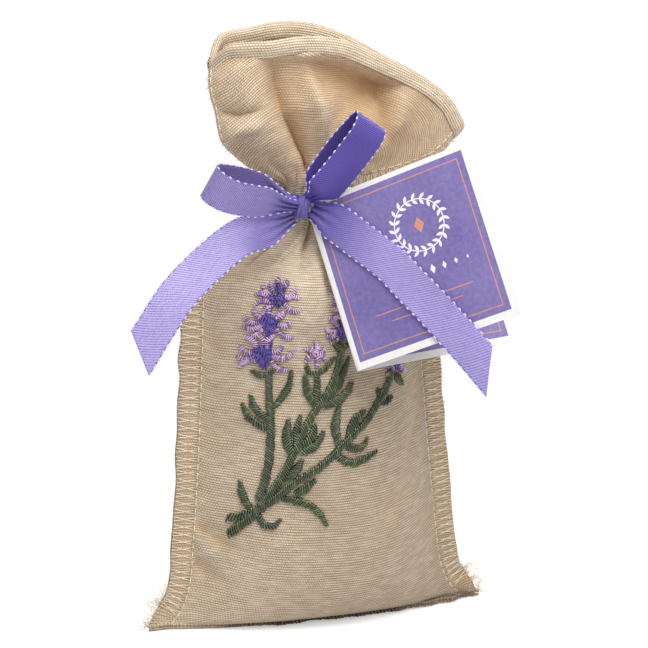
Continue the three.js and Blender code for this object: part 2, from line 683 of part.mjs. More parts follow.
function tagPoint(across, facing, right, down, height) {
  return TAG_CORNER.clone()
    .addScaledVector(across, right)
    .addScaledVector(TAG_DOWN, down)
    .addScaledVector(facing, height);
}

function tagLeaf(across, facing, side) {
  const outline = new THREE.Shape();
  outline.moveTo(GAP / 2, 0);
  outline.lineTo(TAG_SIDE, 0);
  outline.lineTo(TAG_SIDE, TAG_SIDE);
  outline.lineTo(GAP / 2, TAG_SIDE);
  outline.closePath();
  const hole = new THREE.Path();
  hole.absarc(TAG_HOLE_INSET, TAG_HOLE_INSET, TAG_HOLE_RADIUS, 0, 2 * Math.PI);
  outline.holes.push(hole);
  const leaf = new THREE.ExtrudeGeometry(outline, { depth: CARD_THICKNESS, bevelEnabled: false, curveSegments: 10 });
  leaf.translate(0, 0, side * LEAF_OFFSET - CARD_THICKNESS / 2);
  const frame = new THREE.Matrix4().makeBasis(across, TAG_DOWN, facing.clone());
  frame.setPosition(TAG_CORNER);
  leaf.applyMatrix4(frame);
  if (frame.determinant() < 0) flipFaces(leaf);
  return leaf;
}

function flipFaces(geometry) {
  const place = geometry.attributes.position;
  for (let k = 0; k < place.count; k += 3) {
    const second = new Vector3().fromBufferAttribute(place, k + 1);
    const third = new Vector3().fromBufferAttribute(place, k + 2);
    place.setXYZ(k + 1, ...third.toArray());
    place.setXYZ(k + 2, ...second.toArray());
  }
}

addPiece("tag_back_leaf", tagLeaf(BACK_ACROSS, BACK_FACING, -1), "card");
addPiece("tag_front_leaf", tagLeaf(FRONT_ACROSS, FRONT_FACING, 1), "card");

// The right tail lies over the front leaf and hangs on below it
const RIGHT_TAIL_SHARES = [
  [0.056, 0.038], [0.11, 0.095], [0.178, 0.21], [0.245, 0.322], [0.296, 0.423], [0.347, 0.522], [0.418, 0.673], [0.5, 0.86],
];

function rightTail() {
  const height = LEAF_OFFSET + CARD_THICKNESS / 2 + GAP + RIBBON_THICKNESS;
  const points = RIGHT_TAIL_SHARES.map(([right, down]) => tagPoint(
    FRONT_ACROSS, FRONT_FACING, right * RIGHT_TAIL_LENGTH, down * RIGHT_TAIL_LENGTH, height,
  ));
  return tail(points, FRONT_FACING, 0.12);
}

addPiece("ribbon_right_tail", rightTail(), "satin");

export default part;
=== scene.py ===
import json
import math

import bpy
import numpy as np
from mathutils import Matrix, Vector

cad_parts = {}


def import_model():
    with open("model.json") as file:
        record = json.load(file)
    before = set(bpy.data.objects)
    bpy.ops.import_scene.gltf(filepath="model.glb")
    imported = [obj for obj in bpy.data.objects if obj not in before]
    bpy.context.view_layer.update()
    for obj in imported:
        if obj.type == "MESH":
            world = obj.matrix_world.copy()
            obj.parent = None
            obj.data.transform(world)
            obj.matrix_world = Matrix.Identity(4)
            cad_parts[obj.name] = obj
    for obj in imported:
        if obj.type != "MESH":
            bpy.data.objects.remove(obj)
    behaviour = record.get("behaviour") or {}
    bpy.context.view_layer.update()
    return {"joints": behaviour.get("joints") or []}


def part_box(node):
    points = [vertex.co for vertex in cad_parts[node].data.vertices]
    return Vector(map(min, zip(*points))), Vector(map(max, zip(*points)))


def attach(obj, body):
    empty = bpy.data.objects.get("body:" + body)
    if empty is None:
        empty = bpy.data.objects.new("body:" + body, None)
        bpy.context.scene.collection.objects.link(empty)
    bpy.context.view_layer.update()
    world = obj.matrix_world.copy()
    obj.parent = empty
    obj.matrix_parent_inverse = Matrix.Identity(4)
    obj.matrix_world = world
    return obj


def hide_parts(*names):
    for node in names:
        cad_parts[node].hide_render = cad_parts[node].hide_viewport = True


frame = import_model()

# A lavender sachet: a stuffed cloth bag, gathered and tied with a satin
# ribbon, with embroidery on its front and a folded card tag at the bow.
# Lengths are metres. The front of the bag faces -Y.

MM = 0.001
rng = np.random.default_rng(7)


# Sizes that the frame gives

def box(node):
    low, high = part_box(node)
    return np.array(low), np.array(high)


def centre(node):
    low, high = box(node)
    return (low + high) / 2


def size(node):
    low, high = box(node)
    return high - low


def joint(name):
    return next(j for j in frame["joints"] if j["name"] == name)


SEAM_ALLOWANCE = 6 * MM
CLOTH_THICKNESS = 0.6 * MM
GAP = 0.3 * MM
BASE_HALF_WIDTH = size("front_panel")[0] / 2 - SEAM_ALLOWANCE
TIE_HEIGHT = centre("ribbon_neck_band")[2]
BAND_WIDTH = size("ribbon_neck_band")[2]
TIE_WIDTH = 1.5 * BAND_WIDTH
TIE_BOTTOM = TIE_HEIGHT - TIE_WIDTH / 2
TIE_TOP = TIE_HEIGHT + TIE_WIDTH / 2
KNOT_CENTRE = centre("ribbon_knot")
TAG_CORNER = np.array(joint("tag_fold")["pos_m"])
TAG_DOWN = np.array(joint("tag_fold")["axis"])
FRONT_FACING = np.array(joint("tag_swing")["axis"])
FRONT_ACROSS = np.cross(FRONT_FACING, TAG_DOWN)

# Cloth bag, measured on the stitch lines
BELLY_FRONT_DEPTH = 20 * MM
BELLY_BACK_DEPTH = 22 * MM
NECK_HALF_WIDTH = 7 * MM
NECK_HALF_DEPTH = 7 * MM
NECK_SHIFT = 2.3 * MM
NECK_ALLOWANCE = 1.2 * MM
RUFF_ALLOWANCE = 4.5 * MM
PLEAT_DEPTH = 0.9 * MM
PLEATS_PER_PANEL = 5
PLY_OFFSET = (CLOTH_THICKNESS + GAP) / 2
BACK_PLY_HEIGHT = CLOTH_THICKNESS / 2
FRONT_PLY_HEIGHT = BACK_PLY_HEIGHT + 2 * PLY_OFFSET
THREAD_RADIUS = 0.15 * MM
THREAD_ROOM = 0.4 * MM
EDGE_LIFT = GAP + THREAD_ROOM

# Gathered cloth above the tie
RUFF_RADIUS = 58 * MM
RUFF_CENTRE_DROP = 12 * MM
RUFF_LEFT_ANGLE = math.radians(-28)
RUFF_RIGHT_ANGLE = math.radians(56)
RUFF_BULGE = 15 * MM
RUFF_BELLY = 10 * MM
MOUTH_HALF_DEPTH = 9 * MM
BACK_HEM_RAISE = 4 * MM


# Small helpers for numbers and meshes

def lerp(a, b, t):
    return a + (b - a) * t


def smoothstep(t, start, end):
    t = np.clip((t - start) / (end - start), 0, 1)
    return t * t * (3 - 2 * t)


def unit(vectors):
    return vectors / np.maximum(np.linalg.norm(vectors, axis=-1, keepdims=True), 1e-12)


def along(stations, share):
    """Smooth value at a share of the way along a list of (share, value) stations."""
    places, values = np.array(stations, float).T
    last = len(places) - 1
    index = np.arange(last + 1)
    before, after = np.maximum(index - 1, 0), np.minimum(index + 1, last)
    slopes = (values[after] - values[before]) / (places[after] - places[before])
    high = np.clip(np.searchsorted(places, share), 1, last)
    low = high - 1
    span = places[high] - places[low]
    t = np.clip((share - places[low]) / span, 0, 1)
    rest = 1 - t
    return (
        values[low] * (1 + 2 * t) * rest**2
        + slopes[low] * span * t * rest**2
        + values[high] * (1 + 2 * rest) * t**2
        - slopes[high] * span * rest * t**2
    )


def run_of(line):
    """Distance along a line from its first point to each point."""
    return np.concatenate([[0], np.cumsum(np.linalg.norm(np.diff(line, axis=0), axis=1))])


def resample(line, run, steps):
    return np.stack([np.interp(steps, run, line[:, k]) for k in range(line.shape[1])], -1)


def smooth_line(points, count, fine_count):
    """Even points along a smooth curve through the points, and its length."""
    points = np.array(points, float)
    chord = run_of(points)
    fine = np.linspace(0, chord[-1], fine_count)
    line = np.stack([along(np.stack([chord, row], 1), fine) for row in points.T], 1)
    run = run_of(line)
    return resample(line, run, np.linspace(0, run[-1], count)), run[-1]


def grid_faces(rows, columns, ring=False):
    """Quads of a grid of points numbered row by row. A ring closes on its first row."""
    i, j = np.meshgrid(np.arange(rows if ring else rows - 1), np.arange(columns - 1), indexing="ij")
    i, j = i.ravel(), j.ravel()
    following = (i + 1) % rows
    return np.stack(
        [i * columns + j, i * columns + j + 1, following * columns + j + 1, following * columns + j], 1
    )


def ring_walls(rings, count):
    """Quads between closed rings of count points each."""
    return [
        [i * count + k, i * count + (k + 1) % count, (i + 1) * count + (k + 1) % count, (i + 1) * count + k]
        for i in range(rings - 1)
        for k in range(count)
    ]


def grid_normals(grid, ring=False):
    if ring:
        up = np.roll(grid, -1, 0) - np.roll(grid, 1, 0)
    else:
        up = np.gradient(grid, axis=0)
    return unit(np.cross(np.gradient(grid, axis=1), up))


def make_piece(name, points, faces, materials, uv=None, face_materials=None, **tones):
    """A mesh object from arrays. uv has one pair for each point. Each tone is a
    named share for each point, which the material reads: on an embroidery stitch,
    a painted highlight along its outer side with painted shade at its ends and
    underside; on cloth, painted warm light that it throws on itself in its folds
    and over the ruff, a warmer tint on the raw allowances, painted shade on the raw
    lip under the belly, and painted shade over most of the body and two places of
    the mouth; on satin, painted shade where it is bunched or turned from the light."""
    mesh = bpy.data.meshes.new(name)
    mesh.from_pydata(np.asarray(points, float).reshape(-1, 3).tolist(), [], [list(f) for f in faces])
    for material in materials:
        mesh.materials.append(material)
    if uv is not None:
        layer = mesh.uv_layers.new(name="cloth_mm")
        loops = np.empty(len(mesh.loops), np.int32)
        mesh.loops.foreach_get("vertex_index", loops)
        layer.data.foreach_set("uv", np.asarray(uv, np.float32).reshape(-1, 2)[loops].ravel())
    for tone, shares in tones.items():
        layer = mesh.attributes.new(tone, "FLOAT", "POINT")
        layer.data.foreach_set("value", np.asarray(shares, np.float32).ravel())
    if face_materials is not None:
        mesh.polygons.foreach_set("material_index", np.asarray(face_materials, np.int32))
    mesh.polygons.foreach_set("use_smooth", np.ones(len(mesh.polygons), bool))
    mesh.validate()
    mesh.update()
    piece = bpy.data.objects.new(name, mesh)
    bpy.context.scene.collection.objects.link(piece)
    return piece


def two_layers(grid, thickness, uv=None, ring=False):
    """Points, quads and uv of a closed sheet with the grid midway through it."""
    rows, columns = grid.shape[:2]
    offset = grid_normals(grid, ring) * thickness / 2
    points = np.concatenate([(grid + offset).reshape(-1, 3), (grid - offset).reshape(-1, 3)])
    count = rows * columns
    top = grid_faces(rows, columns, ring=ring)
    faces = [top, top[:, ::-1] + count]

    def rim(loop):
        a, b = loop[:-1], loop[1:]
        faces.append(np.stack([b, a, a + count, b + count], 1))

    index = np.arange(count).reshape(rows, columns)
    left, right = index[::-1, 0], index[:, -1]
    if ring:
        left, right = np.append(left, left[0]), np.append(right, right[0])
    rim(left)
    rim(right)
    if not ring:
        rim(index[0])
        rim(index[-1, ::-1])
    if uv is not None:
        uv = np.concatenate([uv.reshape(-1, 2)] * 2)
    return points, np.concatenate(faces), uv


def tubes(paths, radius, facing, sides=6, taper=0.5):
    """Points and quads of one tube along each path. paths is an array of shape
    (tubes, points, 3) and facing a direction that no path follows."""
    paths = np.asarray(paths, float)
    count, steps = paths.shape[:2]
    way = unit(np.gradient(paths, axis=1))
    facing = np.broadcast_to(np.asarray(facing, float), paths.shape)
    across = unit(np.cross(way, facing))
    over = np.cross(across, way)
    turn = 2 * math.pi * np.arange(sides) / sides
    ends = np.ones(steps)
    ends[0] = ends[-1] = taper
    reach = np.broadcast_to(np.asarray(radius, float), (count,))[:, None] * ends
    rings = (
        paths[:, :, None]
        + reach[:, :, None, None] * np.cos(turn)[:, None] * across[:, :, None]
        + reach[:, :, None, None] * np.sin(turn)[:, None] * over[:, :, None]
    )
    index = np.arange(count * steps * sides).reshape(count, steps, sides)
    following = np.roll(index, -1, 2)
    walls = np.stack([index[:, :-1], following[:, :-1], following[:, 1:], index[:, 1:]], -1)
    faces = walls.reshape(-1, 4).tolist()
    faces += index[:, 0, ::-1].tolist() + index[:, -1].tolist()
    each = walls[0].size // 4
    owner = np.concatenate([np.repeat(np.arange(count), each), np.arange(count), np.arange(count)])
    return rings.reshape(-1, 3), faces, owner


# The painted highlight along the outer side of each stitch is weaker at its ends.
END_CREST_SHARE = 0.45
CREST_RISE = (-0.35, 0.9)


class Heap:
    """Meshes that become one piece, each face with the number of its material."""

    def __init__(self):
        self.points, self.faces, self.marks, self.crests, self.count = [], [], [], [], 0

    def add(self, points, faces, marks, crest=0.0):
        points = np.asarray(points, float).reshape(-1, 3)
        self.crests.append(np.broadcast_to(crest, (len(points),)))
        self.points.append(points)
        self.faces += [[v + self.count for v in face] for face in faces]
        self.marks += list(np.broadcast_to(marks, (len(faces),)))
        self.count += len(points)

    def add_tubes(self, paths, radius, facing, marks=0, sides=6, taper=0.5, tips=None):
        """marks and tips have one material number for each tube and its ends."""
        points, faces, owner = tubes(paths, radius, facing, sides, taper)
        marks = np.broadcast_to(marks, (len(paths),))[owner]
        if tips is not None:
            spans = len(paths[0]) - 1
            walls = np.arange(len(paths) * spans * sides)
            span = walls // sides % spans
            ends = walls[(span == 0) | (span == spans - 1)]
            marks[ends] = np.broadcast_to(tips, (len(paths),))[owner[ends]]
        # Painted highlight on the outer half of each stitch tube, painted shade on its underside.
        around = np.sin(2 * math.pi * np.arange(sides) / sides)
        ends = np.ones(len(paths[0]))
        ends[[0, -1]] = END_CREST_SHARE
        crest = ends[:, None] * smoothstep(around, *CREST_RISE)
        self.add(points, faces, marks, np.tile(crest.ravel(), len(paths)))

    def piece(self, name, materials):
        points, crest = np.concatenate(self.points), np.concatenate(self.crests)
        return make_piece(name, points, self.faces, materials, face_materials=self.marks, crest=crest)


# Materials from nodes

def linear(code):
    """Linear colour of a #rrggbb code."""
    parts = [int(code[k:k + 2], 16) / 255 for k in (1, 3, 5)]
    return [c / 12.92 if c <= 0.04045 else ((c + 0.055) / 1.055) ** 2.4 for c in parts] + [1]


class Shader:
    """A material's node tree, with one method for each kind of node used here."""

    def __init__(self, name, roughness, **plain):
        self.material = bpy.data.materials.new(name)
        self.material.use_nodes = True
        self.tree = self.material.node_tree
        self.surface = next(n for n in self.tree.nodes if n.type == "BSDF_PRINCIPLED")
        self.surface.inputs["Roughness"].default_value = roughness
        for socket, value in plain.items():
            self.surface.inputs[socket.replace("_", " ")].default_value = value

    def node(self, kind, inputs=(), **settings):
        node = self.tree.nodes.new(kind)
        for key, value in settings.items():
            setattr(node, key, value)
        for socket, value in dict(inputs).items():
            self.put(node.inputs[socket], value)
        return node

    def put(self, socket, value):
        if isinstance(value, bpy.types.NodeSocket):
            self.tree.links.new(value, socket)
        elif value is not None:
            socket.default_value = value

    def math(self, operation, a, b=None, c=None):
        return self.node("ShaderNodeMath", {0: a, 1: b, 2: c}, operation=operation).outputs[0]

    def times(self, a, b):
        return self.math("MULTIPLY", a, b)

    def plus(self, a, b):
        return self.math("ADD", a, b)

    def wave(self, value):
        """A row of humps, one for each pi."""
        return self.math("ABSOLUTE", self.math("SINE", value))

    def tone(self, name):
        return self.node("ShaderNodeAttribute", attribute_name=name).outputs["Fac"]

    def uv(self):
        parts = self.node("ShaderNodeSeparateXYZ", {0: self.node("ShaderNodeTexCoord").outputs["UV"]})
        return parts.outputs[0], parts.outputs[1]

    def place(self):
        return self.node("ShaderNodeTexCoord").outputs["Object"]

    def vector(self, x, y, z=0.0):
        return self.node("ShaderNodeCombineXYZ", {0: x, 1: y, 2: z}).outputs[0]

    def noise(self, vector, scale, detail=2.0):
        node = self.node("ShaderNodeTexNoise", {"Vector": vector, "Scale": scale, "Detail": detail})
        return node.outputs["Fac"]

    def fit(self, value, low, high, new_low=0.0, new_high=1.0):
        inputs = {0: value, 1: low, 2: high, 3: new_low, 4: new_high}
        return self.node("ShaderNodeMapRange", inputs).outputs[0]

    def mix(self, share, a, b, blend_type="MIX"):
        node = self.node("ShaderNodeMix", {0: share, 6: a, 7: b}, data_type="RGBA", blend_type=blend_type)
        return node.outputs[2]

    def finish(self, colour, height, depth, roughness=None):
        self.put(self.surface.inputs["Base Color"], colour)
        self.put(self.surface.inputs["Roughness"], roughness)
        bump = self.node("ShaderNodeBump", {"Height": height, "Distance": depth, "Strength": 1.0})
        self.put(self.surface.inputs["Normal"], bump.outputs[0])
        return self.material


# The noise scales and the blend shares of each material are given one by one.

WEAVE_RELIEF = 0.15 * MM
THREAD_RELIEF = 0.06 * MM
SATIN_RELIEF = 0.07 * MM
CARD_RELIEF = 0.015 * MM
BUD_RELIEF = 0.8 * MM
TWILL_PITCH = 0.62
DOT_PITCH = 0.5
# Share of the glow colour in the painted warm light of the folds.
WARM_GLOW_SHARE = 0.45
# Tint of the painted shade on the raw bottom lip under the belly.
LIP_SHADE_TINT = "#AC927F"
# Tint of the painted shade over the body and the mouth.
BODY_SHADE_TINT = "#C0BFBD"
RIB_PITCH = 0.73
WARP_PITCH = 0.78


def woven_cloth(name, light, middle, dark, warm):
    """Ribbed plain weave. The uv is in millimetres, with the ribs along u."""
    s = Shader(name, 0.95, Sheen_Weight=0.12, Sheen_Roughness=0.6, Specular_IOR_Level=0.2)
    u, v = s.uv()
    wander = s.noise(s.vector(s.times(u, 0.05), s.times(v, 0.12)), 1.0)
    v = s.plus(v, s.times(wander, 1.2))
    row = s.math("DIVIDE", v, RIB_PITCH)
    number = s.math("FLOOR", row)
    rib = s.wave(s.times(row, math.pi))
    odd = s.math("MODULO", number, 2.0)
    column = s.plus(s.math("DIVIDE", u, WARP_PITCH), s.times(odd, 0.5))
    jog = s.noise(s.vector(s.times(u, 0.5), s.times(number, 5.3)), 1.0)
    column = s.plus(column, s.times(jog, 0.7))
    knuckle = s.wave(s.times(column, math.pi))
    yarn = s.noise(s.vector(s.times(u, 0.22), s.times(number, 3.7)), 1.0, 3.0)
    thick = s.fit(yarn, 0.3, 0.7, 0.7, 1.0)
    height = s.times(s.math("POWER", rib, 0.7), s.fit(knuckle, 0.0, 0.9, 0.52, 1.0))
    height = s.times(height, thick)
    fuzz = s.noise(s.vector(s.times(u, 2.6), s.times(v, 4.5)), 1.0)
    tone = s.noise(s.place(), 45.0)
    colour = s.mix(s.fit(height, 0.2, 0.72), linear(dark), linear(middle))
    colour = s.mix(s.fit(yarn, 0.45, 0.75, 0.0, 0.3), colour, linear(light))
    crown = s.fit(s.times(rib, knuckle), 0.5, 0.95, 0.0, 0.28)
    colour = s.mix(crown, colour, linear(light))
    colour = s.mix(s.fit(tone, 0.35, 0.7, 0.0, 0.1), colour, linear(dark))
    colour = s.mix(s.fit(fuzz, 0.5, 0.8, 0.0, 0.3), colour, linear(light))
    # Painted shade on the raw lip under the belly.
    in_lip_shade = s.tone("lip_shade")
    colour = s.mix(in_lip_shade, colour, s.mix(1.0, colour, linear(LIP_SHADE_TINT), "MULTIPLY"))
    # Painted shade over most of the body and two places of the front ruff.
    body_shade = s.tone("body_shade")
    colour = s.mix(body_shade, colour, s.mix(1.0, colour, linear(BODY_SHADE_TINT), "MULTIPLY"))
    # Painted warm light that cloth throws on itself in its folds and over the ruff; a warmer tint on the raw
    # allowances.
    tint = s.tone("warmth")
    warmed = s.mix(WARM_GLOW_SHARE, s.mix(1.0, colour, linear(warm), "MULTIPLY"), linear(warm))
    colour = s.mix(tint, colour, warmed)
    height = s.plus(height, s.times(fuzz, 0.15))
    return s.finish(colour, height, WEAVE_RELIEF)


def thread(name, light, dark, sheen=0.3, roughness=0.55, gloss=0.5, crested=False):
    """Spun or stranded thread: fine streaks over a colour that varies. If asked, with
    a painted highlight along the outer side of each stitch and painted shade at its
    ends and underside.
    """
    s = Shader(name, roughness, Sheen_Weight=sheen, Sheen_Roughness=0.4, Specular_IOR_Level=gloss)
    fine = s.noise(s.place(), 2600.0)
    broad = s.noise(s.place(), 240.0)
    share = s.fit(s.plus(fine, s.times(broad, 0.8)), 0.65, 1.15)
    if crested:
        crest = s.tone("crest")
        share = s.times(crest, s.fit(share, 0.0, 1.0, 0.6, 1.0))
    return s.finish(s.mix(share, linear(dark), linear(light)), fine, THREAD_RELIEF)


def satin(name, light, dark, streaks, shade_light, deep):
    """Woven satin ribbon. The uv is in millimetres, with u along the ribbon."""
    s = Shader(name, 0.36, Sheen_Weight=0.15, Sheen_Roughness=0.35, Specular_IOR_Level=0.55)
    s.surface.inputs["Sheen Tint"].default_value = linear("#C9B8FF")
    s.surface.inputs["Anisotropic"].default_value = 0.5
    u, v = s.uv()
    slope = s.plus(s.times(u, 0.75), v)
    twill = s.wave(s.times(slope, math.pi / TWILL_PITCH))
    dots = s.wave(s.times(u, math.pi / DOT_PITCH))
    grain = s.times(twill, s.fit(dots, 0.0, 1.0, 0.5, 1.0))
    streak = s.noise(s.vector(s.times(u, 0.35), s.times(v, 3.0)), 1.0, 3.0)
    colour = s.mix(s.fit(grain, 0.0, 0.7), linear(dark), linear(light))
    colour = s.mix(s.fit(streak, 0.35, 0.7, 0.0, 0.3), colour, linear(streaks))
    # Painted shade: the depth tone turns the satin darker where bunched or turned from the light.
    sunk = s.tone("depth")
    shaded_satin = s.mix(s.fit(grain, 0.0, 0.8), linear(deep), linear(shade_light))
    colour = s.mix(sunk, colour, shaded_satin)
    height = s.plus(grain, s.times(streak, 0.4))
    rough = s.fit(grain, 0.0, 1.0, 0.5, 0.32)
    return s.finish(colour, height, SATIN_RELIEF, rough)


def card_stock(name, colour, mottle, roughness):
    """Coated card or its print, with a faint paper fibre."""
    s = Shader(name, roughness)
    fibre = s.noise(s.place(), 900.0, 4.0)
    cloud = s.noise(s.place(), 35.0)
    share = s.fit(s.plus(fibre, cloud), 0.7, 1.3)
    return s.finish(s.mix(share, linear(colour), linear(mottle)), fibre, CARD_RELIEF)


def dried_buds(name):
    s = Shader(name, 0.95)
    cells = s.node("ShaderNodeTexVoronoi", {"Vector": s.place(), "Scale": 420.0})
    tone = s.noise(s.place(), 160.0)
    colour = s.mix(s.fit(tone, 0.35, 0.65), linear("#5B5470"), linear("#8A7F6A"))
    # Darker towards the edges of each bud cell: painted shade between the buds.
    colour = s.mix(s.fit(cells.outputs["Distance"], 0.2, 0.6), colour, linear("#3B3542"))
    return s.finish(colour, s.math("SUBTRACT", 1.0, cells.outputs["Distance"]), BUD_RELIEF)


CLOTH = woven_cloth("beige_weave", "#F6ECDA", "#DDCCB2", "#92795F", "#EEC99B")
SEAM_THREAD = thread("seam_thread", "#F4EAD6", "#DCCBAA")
# Darker seam thread: painted shade on the stitches over the raw lip under the belly.
SHADED_LIP_THREAD = thread("shaded_lip_thread", "#A39180", "#6E6054")
FRAY = thread("frayed_fibre", "#F2E8D2", "#D8C6A2")
# The last two colours are a darker palette for painted shade on the satin.
SATIN = satin("violet_satin", "#AFA2D9", "#6150A6", "#D3C9EC", "#5746A9", "#241A63")
PICOT = thread("picot_thread", "#E4DCFA", "#B3A5E2", 0.5)
SELVEDGE = thread("selvedge_thread", "#7F6CC4", "#4A3894", 0.5)
# Rayon gloss, with painted highlights and shade on each stitch.
RAYON = (0.05, 0.3, 0.9, True)
GREENS = [
    thread("dark_green_thread", "#424F2E", "#0B1309", *RAYON),
    thread("leaf_green_thread", "#616F3E", "#161E0E", *RAYON),
    thread("olive_thread", "#9C9A5E", "#34381D", *RAYON),
]
VIOLETS = [
    thread("deep_violet_thread", "#472C90", "#180A3C", *RAYON),
    thread("lilac_thread", "#E0BDE2", "#84608E", *RAYON),
    thread("mauve_thread", "#B088BC", "#5A3C68", *RAYON),
    thread("mid_violet_thread", "#6850B6", "#28165F", *RAYON),
]
CARD = card_stock("white_card", "#EAE7E6", "#E0DDDA", 0.55)
PRINT = card_stock("violet_print", "#8277AE", "#695C98", 0.42)
KEYLINE = card_stock("salmon_print", "#CE927C", "#C4866F", 0.42)
INK = card_stock("white_print", "#F0EEF6", "#E4E0EE", 0.42)
BUDS = dried_buds("dried_lavender")


# Shape of the cloth
# A place is 0 to 1 from the bottom seam up to the tie and 2 to 3 from the tie
# up to the hem. Across the bag u runs from -1 to 1 between the stitch lines.
# Side -1 is the front and side 1 the back.

WIDTH_SHARES = [
    (0, 1), (0.04, 0.92), (0.094, 0.865), (0.18, 0.836), (0.38, 0.787), (0.57, 0.75), (0.8, 0.715), (1, 0.7),
]
FRONT_SHARES = [
    (0, 0.3), (0.008, 0.46), (0.025, 0.65), (0.07, 0.85), (0.14, 0.96), (0.22, 1), (0.33, 1.01),
    (0.45, 1), (0.57, 0.95), (0.7, 0.86), (0.8, 0.76), (0.9, 0.63), (1, 0.5),
]
BACK_SHARES = [
    (0, 0.6), (0.022, 0.74), (0.045, 0.84), (0.09, 0.93), (0.15, 0.98), (0.25, 1), (0.4, 0.98),
    (0.57, 0.9), (0.7, 0.8), (0.85, 0.66), (1, 0.5),
]
TIE_START_SHARE = 0.85
SIDE_ROUNDNESS = 2.5
MOUTH_SHARES = [(-1, 0), (-0.8, 0.75), (-0.4, 1), (0, 0.75), (0.4, 0.25), (0.7, 0.15), (1, 0)]
RUFF_BEND_SHARE = 0.5
RUFF_RISE_SHARE = 0.5
RUFF_RIGHT_BULGE_SHARE = 0.5
LOBE_FILL = 4 * MM
LEFT_CORNER_OUT = 1 * MM
LEFT_CORNER_RISE = 3 * MM
CORNER_ROUND_IN = 0.9 * MM
CORNER_ROUND_DROP = 2.2 * MM
SWELL_RISE_SHARES = (0.04, 0.35)
SWELL_FALL_SHARES = (0.55, 0.8)
SWELL_LOST_SHARE = 0.85
LOBE_SIDE_SHARES = (0.5, 1)
LEFT_CORNER_SHARES = (0.6, 1)
RIGHT_CORNER_SHARES = (0.7, 1)
RIGHT_CORNER_CLIMB_SHARES = (0.75, 1)
ROUND_SIDE_SHARES = (0.86, 1)
ROUND_CLIMB_SHARES = (0.8, 1)
RIGHT_CORNER_IN = 2.2 * MM
RIGHT_CORNER_RISE = 1.6 * MM


def body_point(side, u, place):
    tied = smoothstep(place, TIE_START_SHARE, 1)
    stations, belly = (FRONT_SHARES, BELLY_FRONT_DEPTH) if side < 0 else (BACK_SHARES, BELLY_BACK_DEPTH)
    half_width = lerp(BASE_HALF_WIDTH * along(WIDTH_SHARES, place), NECK_HALF_WIDTH, tied)
    depth = lerp(belly * along(stations, place), NECK_HALF_DEPTH, tied)
    turn = u * math.pi / 2
    bulge = lerp(1 - np.abs(u) ** SIDE_ROUNDNESS, np.cos(turn), tied)
    wave = np.cos(PLEATS_PER_PANEL * math.pi * u) * np.cos(turn)
    pleat = PLEAT_DEPTH * 4 * tied * (1 - tied) * wave
    bottom = FRONT_PLY_HEIGHT if side < 0 else BACK_PLY_HEIGHT
    height = lerp(bottom, TIE_BOTTOM, place)
    x = half_width * lerp(u, np.sin(turn), tied) - NECK_SHIFT * height / TIE_HEIGHT
    y = side * (PLY_OFFSET + (depth - PLY_OFFSET) * bulge + pleat)
    return np.stack([x, y, height + 0 * u], -1)


def ruff_point(side, u, climb):
    start = body_point(side, u, np.ones_like(climb))
    start[..., 2] = TIE_TOP
    angle = lerp(RUFF_LEFT_ANGLE, RUFF_RIGHT_ANGLE, (u + 1) / 2)
    mouth = along(MOUTH_SHARES, u)
    radius = RUFF_RADIUS + (BACK_HEM_RAISE * mouth if side > 0 else 0)
    end = np.stack([
        np.sin(angle) * radius - NECK_SHIFT,
        side * (PLY_OFFSET + MOUTH_HALF_DEPTH * mouth),
        TIE_HEIGHT - RUFF_CENTRE_DROP + np.cos(angle) * radius,
    ], -1)
    bend = lerp(start, end, RUFF_BEND_SHARE)
    outward = np.sign(u) * u**2 * RUFF_BULGE * np.where(u > 0, RUFF_RIGHT_BULGE_SHARE, 1)
    bend[..., 0] += np.cos(angle) * outward
    bend[..., 2] -= np.sin(angle) * outward
    bend[..., 1] = side * (PLY_OFFSET + RUFF_BELLY * (1 - u**2))
    rise = start + np.array([0, 0, TIE_WIDTH * RUFF_RISE_SHARE])
    t = climb[..., None]
    rest = 1 - t
    grid = start * rest**3 + 3 * rise * rest**2 * t + 3 * bend * rest * t**2 + end * t**3
    swell = smoothstep(climb, *SWELL_RISE_SHARES)
    swell = swell * (1 - SWELL_LOST_SHARE * smoothstep(climb, *SWELL_FALL_SHARES))
    grid[..., 0] -= LOBE_FILL * smoothstep(-u, *LOBE_SIDE_SHARES) * swell
    left_corner = smoothstep(-u, *LEFT_CORNER_SHARES) * smoothstep(climb, *LEFT_CORNER_SHARES)
    right_corner = smoothstep(u, *RIGHT_CORNER_SHARES) * smoothstep(climb, *RIGHT_CORNER_CLIMB_SHARES)
    grid[..., 0] -= LEFT_CORNER_OUT * left_corner + RIGHT_CORNER_IN * right_corner
    grid[..., 2] += LEFT_CORNER_RISE * left_corner + RIGHT_CORNER_RISE * right_corner
    rounded = smoothstep(-u, *ROUND_SIDE_SHARES) * smoothstep(climb, *ROUND_CLIMB_SHARES)
    grid[..., 0] += CORNER_ROUND_IN * rounded
    grid[..., 2] -= CORNER_ROUND_DROP * rounded
    return grid


def allowance(place):
    tied = lerp(SEAM_ALLOWANCE, NECK_ALLOWANCE, smoothstep(place, TIE_START_SHARE, 1))
    fanned = lerp(NECK_ALLOWANCE, RUFF_ALLOWANCE, smoothstep(place, 2, 2.5))
    return np.where(place <= 1, tied, fanned)


# Folds, as dents in the surface. A fold follows a line of (u, place) points. Its
# depth is in millimetres and inward, so a ridge has a negative one.

def fold(points, spread, depth, sharp=1.6, fade=0.35):
    points = np.array(points, float)
    return {"points": points, "spread": spread, "depth": depth * MM, "sharp": sharp, "fade": fade}


